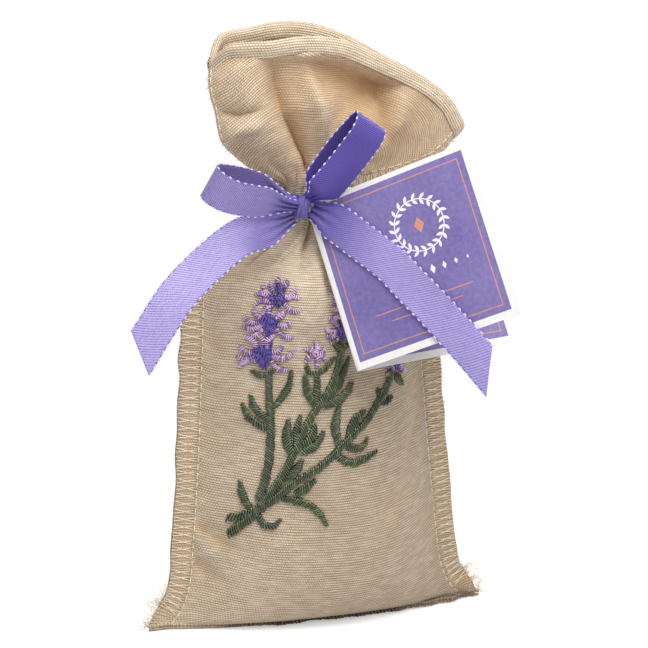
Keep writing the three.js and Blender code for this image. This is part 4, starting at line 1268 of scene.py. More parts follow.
def bottom_threads():
    """The bottom allowance lies on the ground, so its thread goes over and under."""
    heap = Heap()
    seam, edge = front_grid[LIP_ROWS], front_grid[0]
    under, under_edge = back_grid[LIP_ROWS], back_grid[0]
    run = run_of(seam)
    count = int(run[-1] / STITCH_PITCH)
    at = (np.arange(count) + 0.5) * STITCH_PITCH
    lift = CLOTH_THICKNESS / 2 + THREAD_RADIUS
    # Threads on the lip under the belly take the darker thread: painted shade.
    in_lip_shade = (resample(seam, run, at)[:, 0] > LIP_SHADE_FROM_SHARE * BASE_HALF_WIDTH).astype(int)
    for lean in (1, -1):
        rows = []
        slant = STITCH_PITCH * 0.5 * lean
        for share in (0.3, 0.5, 0.7, 0.9, 1.0):
            steps = at + slant * (share - 0.5)
            point = lerp(resample(seam, run, steps), resample(edge, run, steps), share)
            point[:, 2] += lift
            rows.append(point)
        nose = resample(edge, run, at + slant * 0.5)
        nose[:, 1] -= THREAD_RADIUS * 2.2
        nose[:, 2] -= CLOTH_THICKNESS * 0.6
        rows.append(nose)
        for share in (1.0, 0.8, 0.6):
            steps = at + slant * (share - 0.5)
            point = lerp(resample(under, run, steps), resample(under_edge, run, steps), share)
            point[:, 2] -= CLOTH_THICKNESS / 2 + THREAD_RADIUS / 2
            point[:, 2] = np.maximum(point[:, 2], THREAD_RADIUS)
            rows.append(point)
        heap.add_tubes(np.stack(rows, 1), THREAD_RADIUS * lerp(0.5, 1, in_lip_shade), (1.0, 0.0, 0.0), in_lip_shade)
    return heap.piece("bottom_overlock", [SEAM_THREAD, SHADED_LIP_THREAD])


bottom_overlock = bottom_threads()


FIBRE_RADIUS = 0.05 * MM
SIDE_FIBRE = 1.3 * MM
MOUTH_FIBRE = 1.5 * MM
CORNER_FIBRE = 6.5 * MM
CONTOUR_FIBRE = 1.6 * MM
LIP_FIBRE = 1.1 * MM
NECK_ROWS = 4
CORNER_ROWS = 14
CORNER_WAY = np.array([0, -0.2, 0.3])
LEFT_WAY = np.array([-1.0, 0, 0])
LIP_WAY = np.array([0, -1.0, -0.1])


def fibres(heap, roots, outward, count, length, spread=0.8):
    """Loose curled fibres from random places of a line of roots."""
    pick = rng.uniform(0, len(roots) - 1.001, count)
    low = pick.astype(int)
    share = (pick - low)[:, None]
    root = lerp(roots[low], roots[low + 1], share)
    way = unit(lerp(outward[low], outward[low + 1], share) + rng.normal(0, spread, (count, 3)))
    curl = unit(rng.normal(0, 1, (count, 3)))
    reach = (length * rng.uniform(0.3, 1.0, count) ** 1.5)[:, None]
    rows = []
    for t in np.linspace(0, 1, 7):
        rows.append(root + way * reach * t + curl * reach * 0.55 * t**2)
    paths = np.stack(rows, 1)
    paths[:, :, 2] = np.maximum(paths[:, :, 2], 2 * FIBRE_RADIUS)
    heap.add_tubes(paths, FIBRE_RADIUS, unit(rng.normal(0, 1, (count, 1, 3))), sides=4, taper=0.3)


def frayed_edges():
    heap = Heap()
    for end in (-1, 1):
        stitch, edge = edge_lines(front_grid, end)
        outward = unit(edge - stitch)
        body, mouth, corner = slice(BODY_ROWS), slice(BODY_ROWS + NECK_ROWS, None), slice(CORNER_ROWS)
        fibres(heap, edge[body], outward[body], 170, SIDE_FIBRE)
        fibres(heap, edge[mouth], outward[mouth], 240, MOUTH_FIBRE)
        fibres(heap, edge[corner], outward[corner] + CORNER_WAY, 120, CORNER_FIBRE, 0.9)
        if end < 0:
            fibres(heap, stitch[mouth], outward[mouth] + LEFT_WAY, 260, CONTOUR_FIBRE)
    edge = front_grid[0]
    fibres(heap, edge, np.broadcast_to(LIP_WAY, edge.shape), 200, LIP_FIBRE)
    return heap.piece("frayed_fibres", [FRAY])


frayed = frayed_edges()


# Embroidery: satin stitches over a low padding, on the front of the bag
# A picture point is (x, z) as shares of BASE_HALF_WIDTH and TIE_HEIGHT.

def front_frame(x, z):
    """Point on the outer face of the front cloth, and its normal."""
    def at(x, z):
        place = (z - FRONT_PLY_HEIGHT) / (TIE_BOTTOM - FRONT_PLY_HEIGHT)
        middle = -NECK_SHIFT * z / TIE_HEIGHT
        return body_surface(-1, (x - middle) / (BASE_HALF_WIDTH * along(WIDTH_SHARES, place)), place)

    step = 0.5 * MM
    point = at(x, z)
    normal = unit(np.cross(at(x + step, z) - point, at(x, z + step) - point))
    return point, normal


def on_cloth(x, z, height):
    point, normal = front_frame(x, z)
    return point + normal * (CLOTH_THICKNESS / 2 + height)[..., None], normal


PICTURE_STEPS = 200


def picture_curve(points, count):
    """Even points along a smooth curve through the picture points, with tangents."""
    points = np.array(points, float) * (BASE_HALF_WIDTH, TIE_HEIGHT)
    even, length = smooth_line(points, count, PICTURE_STEPS)
    return even, unit(np.gradient(even, axis=0)), length


STITCH_SPACING = 0.54 * MM
STITCH_RADIUS = 0.29 * MM
PETAL_STITCH_SHARE = 0.8
STEM_WIDTH = 2.25 * MM
STEM_HEIGHT = 0.75 * MM


def satin_column(heap, points, width_at, height, slant, pick, pad=0, tips=None, fine=1.0):
    """Close stitches across a curve, leaning by slant times the width."""
    _, __, length = picture_curve(points, 2)
    count = max(4, int(length / (STITCH_SPACING * fine * math.hypot(1, slant))))
    middle, way, _ = picture_curve(points, count)
    side = np.stack([way[:, 1], -way[:, 0]], 1)
    t = np.linspace(0, 1, count)
    width = width_at(t) * (1 + rng.normal(0, 0.12, count))
    low = np.minimum(1, width / STEM_WIDTH + 0.15)
    rows = []
    for s in np.linspace(-1, 1, 7):
        place = middle + side * (s * width / 2)[:, None] + way * (s * slant * width / 2)[:, None]
        arch = height * math.sqrt(max(0, 1 - (abs(s) * 0.97) ** 2)) * low
        point, normal = on_cloth(place[:, 0], place[:, 1], arch + STITCH_RADIUS * 0.3)
        rows.append(point)
    paths = np.stack(rows, 1)
    radii = STITCH_RADIUS * fine * rng.uniform(0.75, 1.15, count)
    ends = tips(count) if tips else None
    heap.add_tubes(paths, radii, normal[:, None, :], pick(count), taper=0.55, tips=ends)
    pad_rows = []
    for s in np.linspace(-1, 1, 7):
        place = middle + side * (s * width_at(t) * 0.44)[:, None]
        arch = height * 0.88 * math.sqrt(max(0, 1 - s * s)) * low
        point, _ = on_cloth(place[:, 0], place[:, 1], arch)
        pad_rows.append(point)
    ground = np.stack(pad_rows, 1)
    heap.add(ground, grid_faces(*ground.shape[:2]).tolist(), pad)


STEMS = [
    [(-0.491, 0.329), (-0.436, 0.408), (-0.417, 0.494), (-0.416, 0.54), (-0.419, 0.582), (-0.416, 0.622)],
    [
        (-0.648, 0.246), (-0.506, 0.304), (-0.421, 0.35), (-0.348, 0.397), (-0.284, 0.448), (-0.228, 0.494),
        (-0.159, 0.535), (-0.099, 0.568), (-0.036, 0.608), (0.016, 0.653), (0.045, 0.69),
    ],
    [
        (-0.471, 0.318), (-0.38, 0.342), (-0.286, 0.375), (-0.187, 0.4), (-0.084, 0.425), (0, 0.451),
        (0.098, 0.482),
        (0.2, 0.516), (0.269, 0.547), (0.327, 0.573), (0.359, 0.597), (0.372, 0.613),
    ],
    [(-0.651, 0.283), (-0.594, 0.29), (-0.531, 0.304), (-0.461, 0.325)],
]

# Each leaf has a width share and then its points
LEAVES = [
    (0.8, [(-0.504, 0.631), (-0.461, 0.62), (-0.406, 0.629), (-0.369, 0.646)]),
    (0.9, [(-0.394, 0.551), (-0.344, 0.573), (-0.306, 0.6), (-0.292, 0.635)]),
    (1.0, [(-0.429, 0.521), (-0.477, 0.534), (-0.505, 0.551), (-0.519, 0.574)]),
    (1.0, [(-0.43, 0.5), (-0.488, 0.51), (-0.54, 0.527), (-0.566, 0.553)]),
    (0.95, [(-0.535, 0.308), (-0.566, 0.33), (-0.579, 0.351), (-0.586, 0.372)]),
    (1.2, [(-0.307, 0.444), (-0.33, 0.482), (-0.315, 0.522)]),
    (1.0, [(-0.273, 0.461), (-0.266, 0.499), (-0.239, 0.53)]),
    (1.15, [(-0.25, 0.446), (-0.175, 0.457), (-0.129, 0.476), (-0.102, 0.492)]),
    (1.2, [(-0.23, 0.462), (-0.18, 0.481), (-0.149, 0.508)]),
    (1.3, [(-0.344, 0.362), (-0.296, 0.397), (-0.244, 0.429)]),
    (0.95, [(-0.139, 0.56), (-0.14, 0.594), (-0.141, 0.631)]),
    (0.8, [(-0.21, 0.645), (-0.182, 0.629), (-0.14, 0.626)]),
    (0.8, [(-0.14, 0.626), (-0.08, 0.638), (-0.019, 0.658)]),
    (1.1, [(-0.149, 0.552), (-0.194, 0.582), (-0.218, 0.624)]),
    (1.1, [(-0.088, 0.559), (-0.014, 0.591), (0.044, 0.627), (0.083, 0.655)]),
    (1.35, [(-0.1, 0.551), (0.008, 0.565), (0.063, 0.583), (0.089, 0.599)]),
    (1.0, [(-0.018, 0.705), (-0.003, 0.688), (0.043, 0.677), (0.093, 0.689)]),
    (1.1, [(0.006, 0.451), (-0.024, 0.49), (-0.02, 0.524), (0.004, 0.555)]),
    (1.4, [(0.061, 0.475), (0.093, 0.505), (0.131, 0.521), (0.17, 0.53)]),
    (1.0, [(0.04, 0.452), (0.134, 0.445), (0.169, 0.455), (0.187, 0.469)]),
    (1.1, [(-0.03, 0.436), (0.072, 0.414), (0.164, 0.418), (0.251, 0.434)]),
    (1.1, [(0.318, 0.555), (0.284, 0.565), (0.269, 0.577)]),
    (1.1, [(0.303, 0.545), (0.346, 0.546), (0.377, 0.553)]),
    (1.0, [(0.368, 0.608), (0.428, 0.595), (0.471, 0.577)]),
    (1.0, [(-0.349, 0.338), (-0.264, 0.331), (-0.176, 0.317), (-0.118, 0.293), (-0.084, 0.27)]),
    (0.95, [(-0.499, 0.298), (-0.467, 0.276), (-0.411, 0.274), (-0.37, 0.289)]),
    (1.2, [(-0.281, 0.349), (-0.221, 0.361), (-0.165, 0.382)]),
]


def pick_green(count):
    return rng.choice([0, 1], count, p=[0.8, 0.2])


def pick_tip(count):
    return rng.choice([0, 1, 2], count, p=[0.25, 0.35, 0.4])


def leaf_width(share):
    """Width of a leaf along it: full at its middle and narrow at its tip."""
    def width_at(t):
        return STEM_WIDTH * share * (0.42 + 0.58 * np.sin(math.pi * np.clip(t * 0.85 + 0.17, 0, 1)))

    return width_at


def stem_width(t):
    return STEM_WIDTH * (1 - 0.15 * t)


STEM_RISE_SHARE = 0.2


def stem_stitches():
    heap = Heap()
    for k, (share, points) in enumerate(LEAVES):
        lean = 0.55 if k % 2 else -0.55
        satin_column(heap, points, leaf_width(share), STEM_HEIGHT * 0.9, lean, pick_green, tips=pick_tip)
    for k, points in enumerate(STEMS):
        rise = STEM_RISE_SHARE * (k if k < 3 else 1)
        satin_column(heap, points, stem_width, STEM_HEIGHT * (1 + rise), -0.75, pick_green, tips=pick_tip)
    return heap.piece("stem_stitches", GREENS)


stems = stem_stitches()

PETAL_WIDTH = 1.5 * MM
PETAL_HEIGHT = 0.85 * MM
PETAL_BEND = 0.2
HEART_STITCH_PITCH = 0.56 * MM
HEART_STITCH_LENGTH = 1.15 * MM
HEART_STITCH_RADIUS = 0.24 * MM
HEART_ASIDE = 0.08 * MM
HEART_UPWARD = 0.06 * MM
HEART_EDGE = 0.3 * MM
HEART_STITCH_RISE = 0.16 * MM
HEART_WIDTH_SHARE = 0.42
HEART_HEIGHT_SHARE = 0.45
HEART_COLUMN_WIDTH = 1.3 * MM
HEART_COLUMN_START_SHARE = 0.2
PETAL_START_SHARE = 0.38
TOP_PETAL_START_SHARE = 0.5
DEEP, LILAC, MAUVE, MID = range(4)


def pick_deep(count):
    return rng.choice([DEEP, MID], count, p=[0.7, 0.3])


def pick_petal(count):
    return rng.choice([LILAC, MAUVE], count, p=[0.72, 0.28])


def petal(heap, x, z, angle, near, far, width=PETAL_WIDTH, pick=pick_petal, pad=MAUVE):
    """A short satin column that points away from a whorl's middle."""
    c, s = math.cos(angle), math.sin(angle)
    bend = PETAL_BEND * (far - near) * rng.choice([-1, 1])
    line = []
    for t, off in ((0, 0), (0.5, bend), (1, 0)):
        reach = lerp(near, far, t)
        line.append(((x + c * reach - s * off) / BASE_HALF_WIDTH, (z + s * reach + c * off) / TIE_HEIGHT))

    def width_at(t):
        return width * (0.35 + 0.65 * np.sin(math.pi * np.clip(0.12 + 0.8 * t, 0, 1)) ** 0.8)

    lean = rng.uniform(-0.3, 0.3)
    satin_column(heap, line, width_at, PETAL_HEIGHT, lean, pick, pad, fine=PETAL_STITCH_SHARE)


def heart(heap, x, z, half_width, half_height):
    """The dark middle of a whorl: a shield of short slanted stitches on a pad."""
    def width_at(v):
        top = np.sqrt(np.clip(1 - ((v - 0.35) / 0.68) ** 2, 0, 1))
        bottom = np.clip((1 + v) / 1.35, 0, 1) ** 0.75
        return half_width * np.where(v > 0.35, top, bottom)

    def arch(px, wide):
        return PETAL_HEIGHT * np.sqrt(np.clip(1 - (px / np.maximum(wide, 1e-6)) ** 2 * 0.8, 0, 1))

    levels = np.linspace(-0.97, 0.98, 12)
    rows = []
    for v in levels:
        wide = width_at(v)
        px = np.linspace(-1, 1, 9) * wide * 0.95
        point, _ = on_cloth(x + px, np.full(9, z + v * half_height), arch(px, wide) * 0.85)
        rows.append(point)
    ground = np.stack(rows)
    heap.add(ground, grid_faces(*ground.shape[:2]).tolist(), DEEP)
    pitch, length = HEART_STITCH_PITCH, HEART_STITCH_LENGTH
    starts = []
    for k, pz in enumerate(np.arange(-half_height * 0.95, half_height * 0.95, pitch)):
        wide = float(width_at(pz / half_height))
        for px in np.arange(-wide * 0.9, wide * 0.9 + pitch / 2, pitch * 1.15):
            aside = rng.normal(0, HEART_ASIDE)
            upward = rng.normal(0, HEART_UPWARD)
            starts.append((px + aside, pz + upward, 1 if k % 2 else -1, wide))
    starts = np.array(starts)
    rows = []
    for t in np.linspace(-0.5, 0.5, 5):
        px = starts[:, 0] + starts[:, 2] * length * 0.5 * t
        pz = starts[:, 1] + length * t
        high = arch(px, starts[:, 3] + HEART_EDGE) + HEART_STITCH_RISE * math.cos(math.pi * t)
        point, normal = on_cloth(x + px, z + pz, high)
        rows.append(point)
    marks = pick_deep(len(starts))
    heap.add_tubes(np.stack(rows, 1), HEART_STITCH_RADIUS, normal[:, None, :], marks, taper=0.5)


WHORL_ANGLES = (100, 132, 158, 186, 216, 62, 36, 6, -30)
HEART_RISE_SHARE = 0.95
# A heart with a smaller height share than this has two petals in place of a whorl
LEAST_WHORL_SHARE = 0.6
TOP_PETALS = ((95, 0.2, 0.62), (50, 0.25, 0.66))
TOP_HEART_SHARE = 0.26
UPWARD_LOSS_SHARE = 0.09
LEFT_WHORL = 6.1 * MM
MIDDLE_WHORL = 4.8 * MM
RIGHT_WHORL = 4.0 * MM


def whorl(heap, x, z, size, tall):
    """Petals round a heart with a deep violet column above it. tall stretches both."""
    for angle in WHORL_ANGLES:
        turn = math.radians(angle + rng.normal(0, 5))
        near = size * (TOP_PETAL_START_SHARE if angle == WHORL_ANGLES[0] else PETAL_START_SHARE)
        petal(heap, x, z, turn, near, size * rng.uniform(0.9, 1.2))
    start, rise = size * HEART_COLUMN_START_SHARE, size * HEART_RISE_SHARE * tall
    petal(heap, x, z, math.radians(82), start, rise, HEART_COLUMN_WIDTH, pick_deep, DEEP)
    heart(heap, x, z, size * HEART_WIDTH_SHARE, size * HEART_HEIGHT_SHARE * tall)


def flower_spike(name, hearts, size):
    """Whorls from the lowest to the top one; each heart has x, z and a height share."""
    heap = Heap()
    for k, (x, z, tall) in enumerate(hearts):
        scale = size * (1 - UPWARD_LOSS_SHARE * k)
        x, z = x * BASE_HALF_WIDTH, z * TIE_HEIGHT
        if tall < LEAST_WHORL_SHARE:
            for angle, near, far in TOP_PETALS:
                petal(heap, x, z, math.radians(angle), scale * near, scale * far)
            heart(heap, x, z, scale * TOP_HEART_SHARE, scale * TOP_HEART_SHARE)
        else:
            whorl(heap, x, z, scale, tall)
    return heap.piece(name, VIOLETS)


left_spike = flower_spike(
    "left_spike_stitches",
    [(-0.445, 0.664, 1.15), (-0.406, 0.737, 1.0), (-0.353, 0.79, 0.75), (-0.332, 0.817, 0.5)], LEFT_WHORL,
)
middle_spike = flower_spike(
    "middle_spike_stitches", [(0.04, 0.715, 1.0), (0.058, 0.76, 0.85), (0.07, 0.8, 0.75)], MIDDLE_WHORL,
)
right_spike = flower_spike("right_spike_stitches", [(0.417, 0.63, 1.1), (0.436, 0.665, 0.9)], RIGHT_WHORL)

BUD_PLACE = (-0.146, 0.669)
BUD_ANGLES = (90, 152, 28, 209, -33, -90)
BUD_START = 0.5 * MM
BUD_TOP_PETAL = 3.8 * MM
BUD_PETAL = 3.3 * MM
BUD_PETAL_WIDTH = 1.6 * MM
LOOSE_STITCH = [(-0.318, 0.684), (-0.26, 0.682), (-0.217, 0.684)]
LOOSE_STITCH_STEPS = 12
LOOSE_STITCH_LIFT = 0.14 * MM
LOOSE_STITCH_RADIUS = 0.11 * MM


def bud_stitches():
    heap = Heap()
    x, z = BUD_PLACE[0] * BASE_HALF_WIDTH, BUD_PLACE[1] * TIE_HEIGHT
    for angle in BUD_ANGLES:
        reach = BUD_TOP_PETAL if angle == BUD_ANGLES[0] else BUD_PETAL
        petal(heap, x, z, math.radians(angle), BUD_START, reach, BUD_PETAL_WIDTH)
    line, _, _ = picture_curve(LOOSE_STITCH, LOOSE_STITCH_STEPS)
    lift = np.full(LOOSE_STITCH_STEPS, LOOSE_STITCH_LIFT)
    point, normal = on_cloth(line[:, 0], line[:, 1], lift)
    heap.add_tubes(point[None], LOOSE_STITCH_RADIUS, normal[None], LILAC)
    return heap.piece("bud_stitches", VIOLETS)


bud = bud_stitches()


# Satin ribbon
# A strip is given by its middle line and the half width vector at each step.

RIBBON_WIDTH = 10 * MM
RIBBON_THICKNESS = 0.4 * MM
PICOT_PITCH = 2.2 * MM
PICOT_JITTER = 0.08 * MM
PICOT_SWELL = 0.12 * MM
# Each thread along an edge has its length and its start as shares of the pitch,
# its radius, and the number of its material
EDGE_THREADS = ((0.48, 0, 0.25 * MM, 0), (0.52, 0.48, 0.18 * MM, 1))
RIBBON_COLUMNS = 25
TAIL_RIPPLE = 0.35 * MM
RIBBON_STEPS = 110
CURVE_STEPS = 300


PLEAT_WAVES = 3.2
PLEAT_RISE = 0.62 * MM


def pinch_pleats(pinched, s, phase):
    """Height of the lengthwise pleats where a ribbon is gathered into the knot."""
    wave = np.cos(math.pi * PLEAT_WAVES * s[None, :] + phase + 1.5 * pinched[:, None])
    return PLEAT_RISE * pinched[:, None] ** 1.3 * wave


def ribbon_piece(name, middle, half, deep, cup, pinched, phase, pleat_way=None, cut=0.0):
    """A ribbon along middle, with half as the vector from middle to its edge.
    cup bows it across, and cut makes one edge end sooner than the other. pinched
    is 1 at the knot and 0 where the ribbon lies open."""
    steps = len(middle)
    run = run_of(middle)
    s = np.linspace(-1, 1, RIBBON_COLUMNS)
    grid = middle[:, None] + half[:, None] * s[None, :, None]
    normal = unit(np.cross(np.gradient(middle, axis=0), half))
    cup = np.broadcast_to(np.asarray(cup, float), (steps,))
    grid = grid + normal[:, None] * (cup[:, None] * (1 - s**2)[None, :])[..., None]
    way = normal[:, None] if pleat_way is None else pleat_way
    grid = grid + way * pinch_pleats(pinched, s, phase)[..., None]
    if cut:
        short = np.linspace(0, 1, steps)[:, None] * (1 - cut * (1 - s)[None, :] / 2)
        place = short * (steps - 1)
        low = np.minimum(place.astype(int), steps - 2)
        share = (place - low)[..., None]
        column = np.broadcast_to(np.arange(RIBBON_COLUMNS), low.shape)
        grid = lerp(grid[low, column], grid[low + 1, column], share)
    flat = np.stack(np.broadcast_arrays(run[:, None], s[None, :] * RIBBON_WIDTH / 2), -1) / MM
    points, faces, uv = two_layers(grid, RIBBON_THICKNESS * 0.6, flat)
    # Painted shade: each step's share turns the satin to its darker palette.
    tone = np.concatenate([np.broadcast_to(deep[:, None], grid.shape[:2]).ravel()] * 2)
    piece = make_piece(name, points, faces, [SATIN], uv, depth=tone)
    return piece, grid


def picots(name, grid):
    """Pale dashes woven along both edges, and the dark selvedge cord between them."""
    heap = Heap()
    normals = grid_normals(grid)
    for edge in (0, -1):
        line, facing = grid[:, edge], normals[:, edge]
        run = run_of(line)
        at = np.arange(PICOT_PITCH * 0.3, run[-1] - PICOT_PITCH * 0.6, PICOT_PITCH)
        at = at + rng.normal(0, PICOT_JITTER, len(at))
        inward = unit(grid[:, 1 if edge == 0 else -2] - line)
        for length, start, radius, mark in EDGE_THREADS:
            rows = []
            for share in np.linspace(0, 1, 5):
                steps = at + PICOT_PITCH * (start + length * share)
                swell = PICOT_SWELL * math.sin(math.pi * share) if mark == 0 else 0
                rows.append(resample(line, run, steps) - resample(inward, run, steps) * swell)
            heap.add_tubes(np.stack(rows, 1), radius, resample(facing, run, at)[:, None, :], mark, taper=0.35)
    return heap.piece(name, [PICOT, SELVEDGE])


PINCH_SHARE = 0.34
ROOT_TUCK = 2.3 * MM
LOOP_LENGTH = 29 * MM
LOOP_SAG = 0.5 * MM
KNOT_HALF_WIDTH = 4 * MM
KNOT_HALF_HEIGHT = 4.6 * MM
LAYER_OFFSET = (RIBBON_THICKNESS + GAP) / 2 + RIBBON_THICKNESS / 4


def bow_loop(name, way, opening, knot_reach, half_opening, phase, deep, flare, roll):
    """A loop of the bow. Its front layer bulges by roll where it leaves the knot."""
    ahead = unit(np.array(way, float))
    width = unit(np.cross(np.array(opening, float), ahead))
    opened = np.cross(ahead, width)
    root = KNOT_CENTRE + ahead * (knot_reach + GAP - ROOT_TUCK)
    length = LOOP_LENGTH - KNOT_HALF_WIDTH + ROOT_TUCK
    t = np.linspace(0, 1, RIBBON_STEPS)
    reach = np.sin(math.pi * t)
    spread = half_opening * np.sin(2 * math.pi * t) + LAYER_OFFSET * np.cos(math.pi * t)
    sag = LOOP_SAG * np.sin(5 * math.pi * t) * reach
    bulge = roll * smoothstep(t, 0.72, 0.92) * (1 - smoothstep(t, 0.94, 1))
    middle = root + ahead * (length * reach)[:, None] + opened * (spread + sag - bulge)[:, None]
    half = width * (RIBBON_WIDTH / 2 * lerp(PINCH_SHARE, 1, smoothstep(reach, 0.04, flare)))[:, None]
    pinched = 1 - smoothstep(reach, 0.04, flare)
    # More painted shade where the loop is pinched into the knot.
    tone = np.clip(deep + 0.5 * pinched, 0, 1)
    piece, grid = ribbon_piece(name + "_ribbon", middle, half, tone, bulge, pinched, phase, pleat_way=opened)
    return piece, picots(name + "_picots", grid)


LEFT_LOOP_WAY = (-0.94, -0.2, 0.27)
RIGHT_LOOP_WAY = (0.55, -0.3, 0.78)
LEFT_LOOP_OPENING = 3.6 * MM
RIGHT_LOOP_OPENING = 2.8 * MM
RIGHT_LOOP_ROLL = 1.6 * MM
left_loop, left_loop_picots = bow_loop(
    "left_loop", LEFT_LOOP_WAY, (0, 0.85, 0.5), KNOT_HALF_WIDTH, LEFT_LOOP_OPENING, 0.6, 0.3, 0.5, 0.0,
)
# The right loop is almost wholly in painted shade, as it turns from the light.
right_loop, right_loop_picots = bow_loop(
    "right_loop", RIGHT_LOOP_WAY, (0, 1, 0.35), KNOT_HALF_HEIGHT + GAP, RIGHT_LOOP_OPENING, 2.0, 0.95, 0.2,
    RIGHT_LOOP_ROLL,
)

LEFT_TAIL_LENGTH = 62 * MM
RIGHT_TAIL_LENGTH = 74 * MM
TAIL_CUT_SHARE = 0.12
LEFT_TAIL_SHARES = [
    (-0.068, 0.016, -0.058), (-0.153, 0.002, -0.088), (-0.294, -0.035, -0.118), (-0.44, -0.065, -0.213),
    (-0.594, -0.11, -0.344), (-0.698, -0.123, -0.484), (-0.8, -0.123, -0.64),
]
RIGHT_TAIL_SHARES = [
    (0.04, 0.046), (0.092, 0.105), (0.168, 0.212), (0.245, 0.322), (0.296, 0.423), (0.347, 0.522),
    (0.418, 0.673), (0.5, 0.86),
]


def tail(name, points, facing, phase, spread_by, pinch, deep, long_edge=1):
    points = np.array(points)
    points[0] -= unit(points[1] - points[0]) * ROOT_TUCK
    middle, _ = smooth_line(points, RIBBON_STEPS, CURVE_STEPS)
    way = unit(np.gradient(middle, axis=0))
    t = np.linspace(0, 1, len(middle))
    half = unit(np.cross(way, np.array(facing, float))) * long_edge
    half = half * (RIBBON_WIDTH / 2 * lerp(pinch, 1, smoothstep(t, 0.0, spread_by)))[:, None]
    pinched = 1 - smoothstep(t, 0.0, 1.4 * spread_by)
    ripple = TAIL_RIPPLE * np.sin(2 * math.pi * 1.7 * t + phase) * smoothstep(t, 0.2, 0.5)
    # Painted shade, deepest near the knot.
    tone = deep + 0.6 * (1 - smoothstep(t, 0.08, 0.4))
    piece, grid = ribbon_piece(
        name + "_ribbon", middle, half, tone, ripple, pinched, phase, cut=TAIL_CUT_SHARE,
    )
    return piece, picots(name + "_picots", grid)


left_points = [KNOT_CENTRE + np.array(share) * LEFT_TAIL_LENGTH for share in LEFT_TAIL_SHARES]
left_tail, left_tail_picots = tail(
    "left_tail", left_points, (-0.25, -1, 0.1), 0.4, 0.17, PINCH_SHARE, 0.0, long_edge=-1,
)

CARD_THICKNESS = 0.5 * MM
LEAF_OFFSET = (CARD_THICKNESS + GAP) / 2


def tag_point(across, facing, right, down, height):
    return TAG_CORNER + across * right + TAG_DOWN * down + facing * height


right_height = LEAF_OFFSET + CARD_THICKNESS / 2 + GAP + RIBBON_THICKNESS
RIGHT_ROOT_RISE = 0.7 * MM
RIGHT_ROOT_SHARES = (0.05, 0.2)
right_points = [
    tag_point(
        FRONT_ACROSS, FRONT_FACING, right * RIGHT_TAIL_LENGTH, down * RIGHT_TAIL_LENGTH,
        right_height + RIGHT_ROOT_RISE * (1 - smoothstep(down, *RIGHT_ROOT_SHARES)),
    )
    for right, down in RIGHT_TAIL_SHARES
]
right_tail, right_tail_picots = tail("right_tail", right_points, FRONT_FACING, 1.8, 0.11, 0.55, 0.2)


NECK_TIP_ANGLE = math.radians(-124)
NECK_PULL_SPREAD = 0.17
NECK_STEPS = 160
NECK_RUN = 50
NECK_PLEAT = 0.45 * MM
NECK_PLEAT_WAVES = 3.5
NECK_LIFT = 0.3 * MM
KNOT_BACK = 2.6 * MM


def neck_ribbon():
    """The ribbon round the neck, bunched into lengthwise pleats."""
    flange_tip = NECK_HALF_WIDTH + NECK_ALLOWANCE + GAP + THREAD_ROOM
    clear = CLOTH_THICKNESS / 2 + GAP + RIBBON_THICKNESS / 2
    half_width, half_depth = flange_tip + clear, NECK_HALF_DEPTH + clear
    reach = np.hypot(*(KNOT_CENTRE - [-NECK_SHIFT, 0, 0])[:2])
    tip = reach - KNOT_BACK - GAP - RIBBON_THICKNESS / 2
    turn = np.linspace(0, 2 * math.pi, NECK_STEPS, endpoint=False)
    angle = NECK_TIP_ANGLE + turn
    oval = 1 / np.hypot(np.cos(angle) / half_width, np.sin(angle) / half_depth)
    apart = np.minimum(turn, 2 * math.pi - turn)
    radius = lerp(oval, np.maximum(tip, oval), np.exp(-((apart / NECK_PULL_SPREAD) ** 2)))
    s = np.linspace(-1, 1, 41)
    uneven = (0.8 + 0.4 * np.sin(3 * angle + 1))[:, None]
    pleat = NECK_PLEAT * np.sin(s * math.pi * NECK_PLEAT_WAVES)[None, :] * uneven
    out = radius[:, None] + NECK_LIFT + pleat
    x = -NECK_SHIFT + np.cos(angle)[:, None] * out
    y = np.sin(angle)[:, None] * out
    z = TIE_HEIGHT + s[None, :] * BAND_WIDTH / 2 + 0 * out
    grid = np.stack([x, y, z], -1)
    run = np.linspace(0, NECK_RUN, NECK_STEPS)
    flat = np.stack(np.broadcast_arrays(run[:, None], s[None, :] * 5), -1)
    points, faces, uv = two_layers(grid, RIBBON_THICKNESS * 0.6, flat, ring=True)
    # The whole neck band takes the painted shade palette.
    return make_piece("neck_ribbon", points, faces, [SATIN], uv, depth=np.ones(len(points)))


neck_band = neck_ribbon()


KNOT_SPAN = 2.0 * MM
KNOT_DEPTH = 2.5 * MM
KNOT_RISE = 3.7 * MM
KNOT_SLANT = 0.45 * MM
KNOT_SHADE_SHARE = 0.7


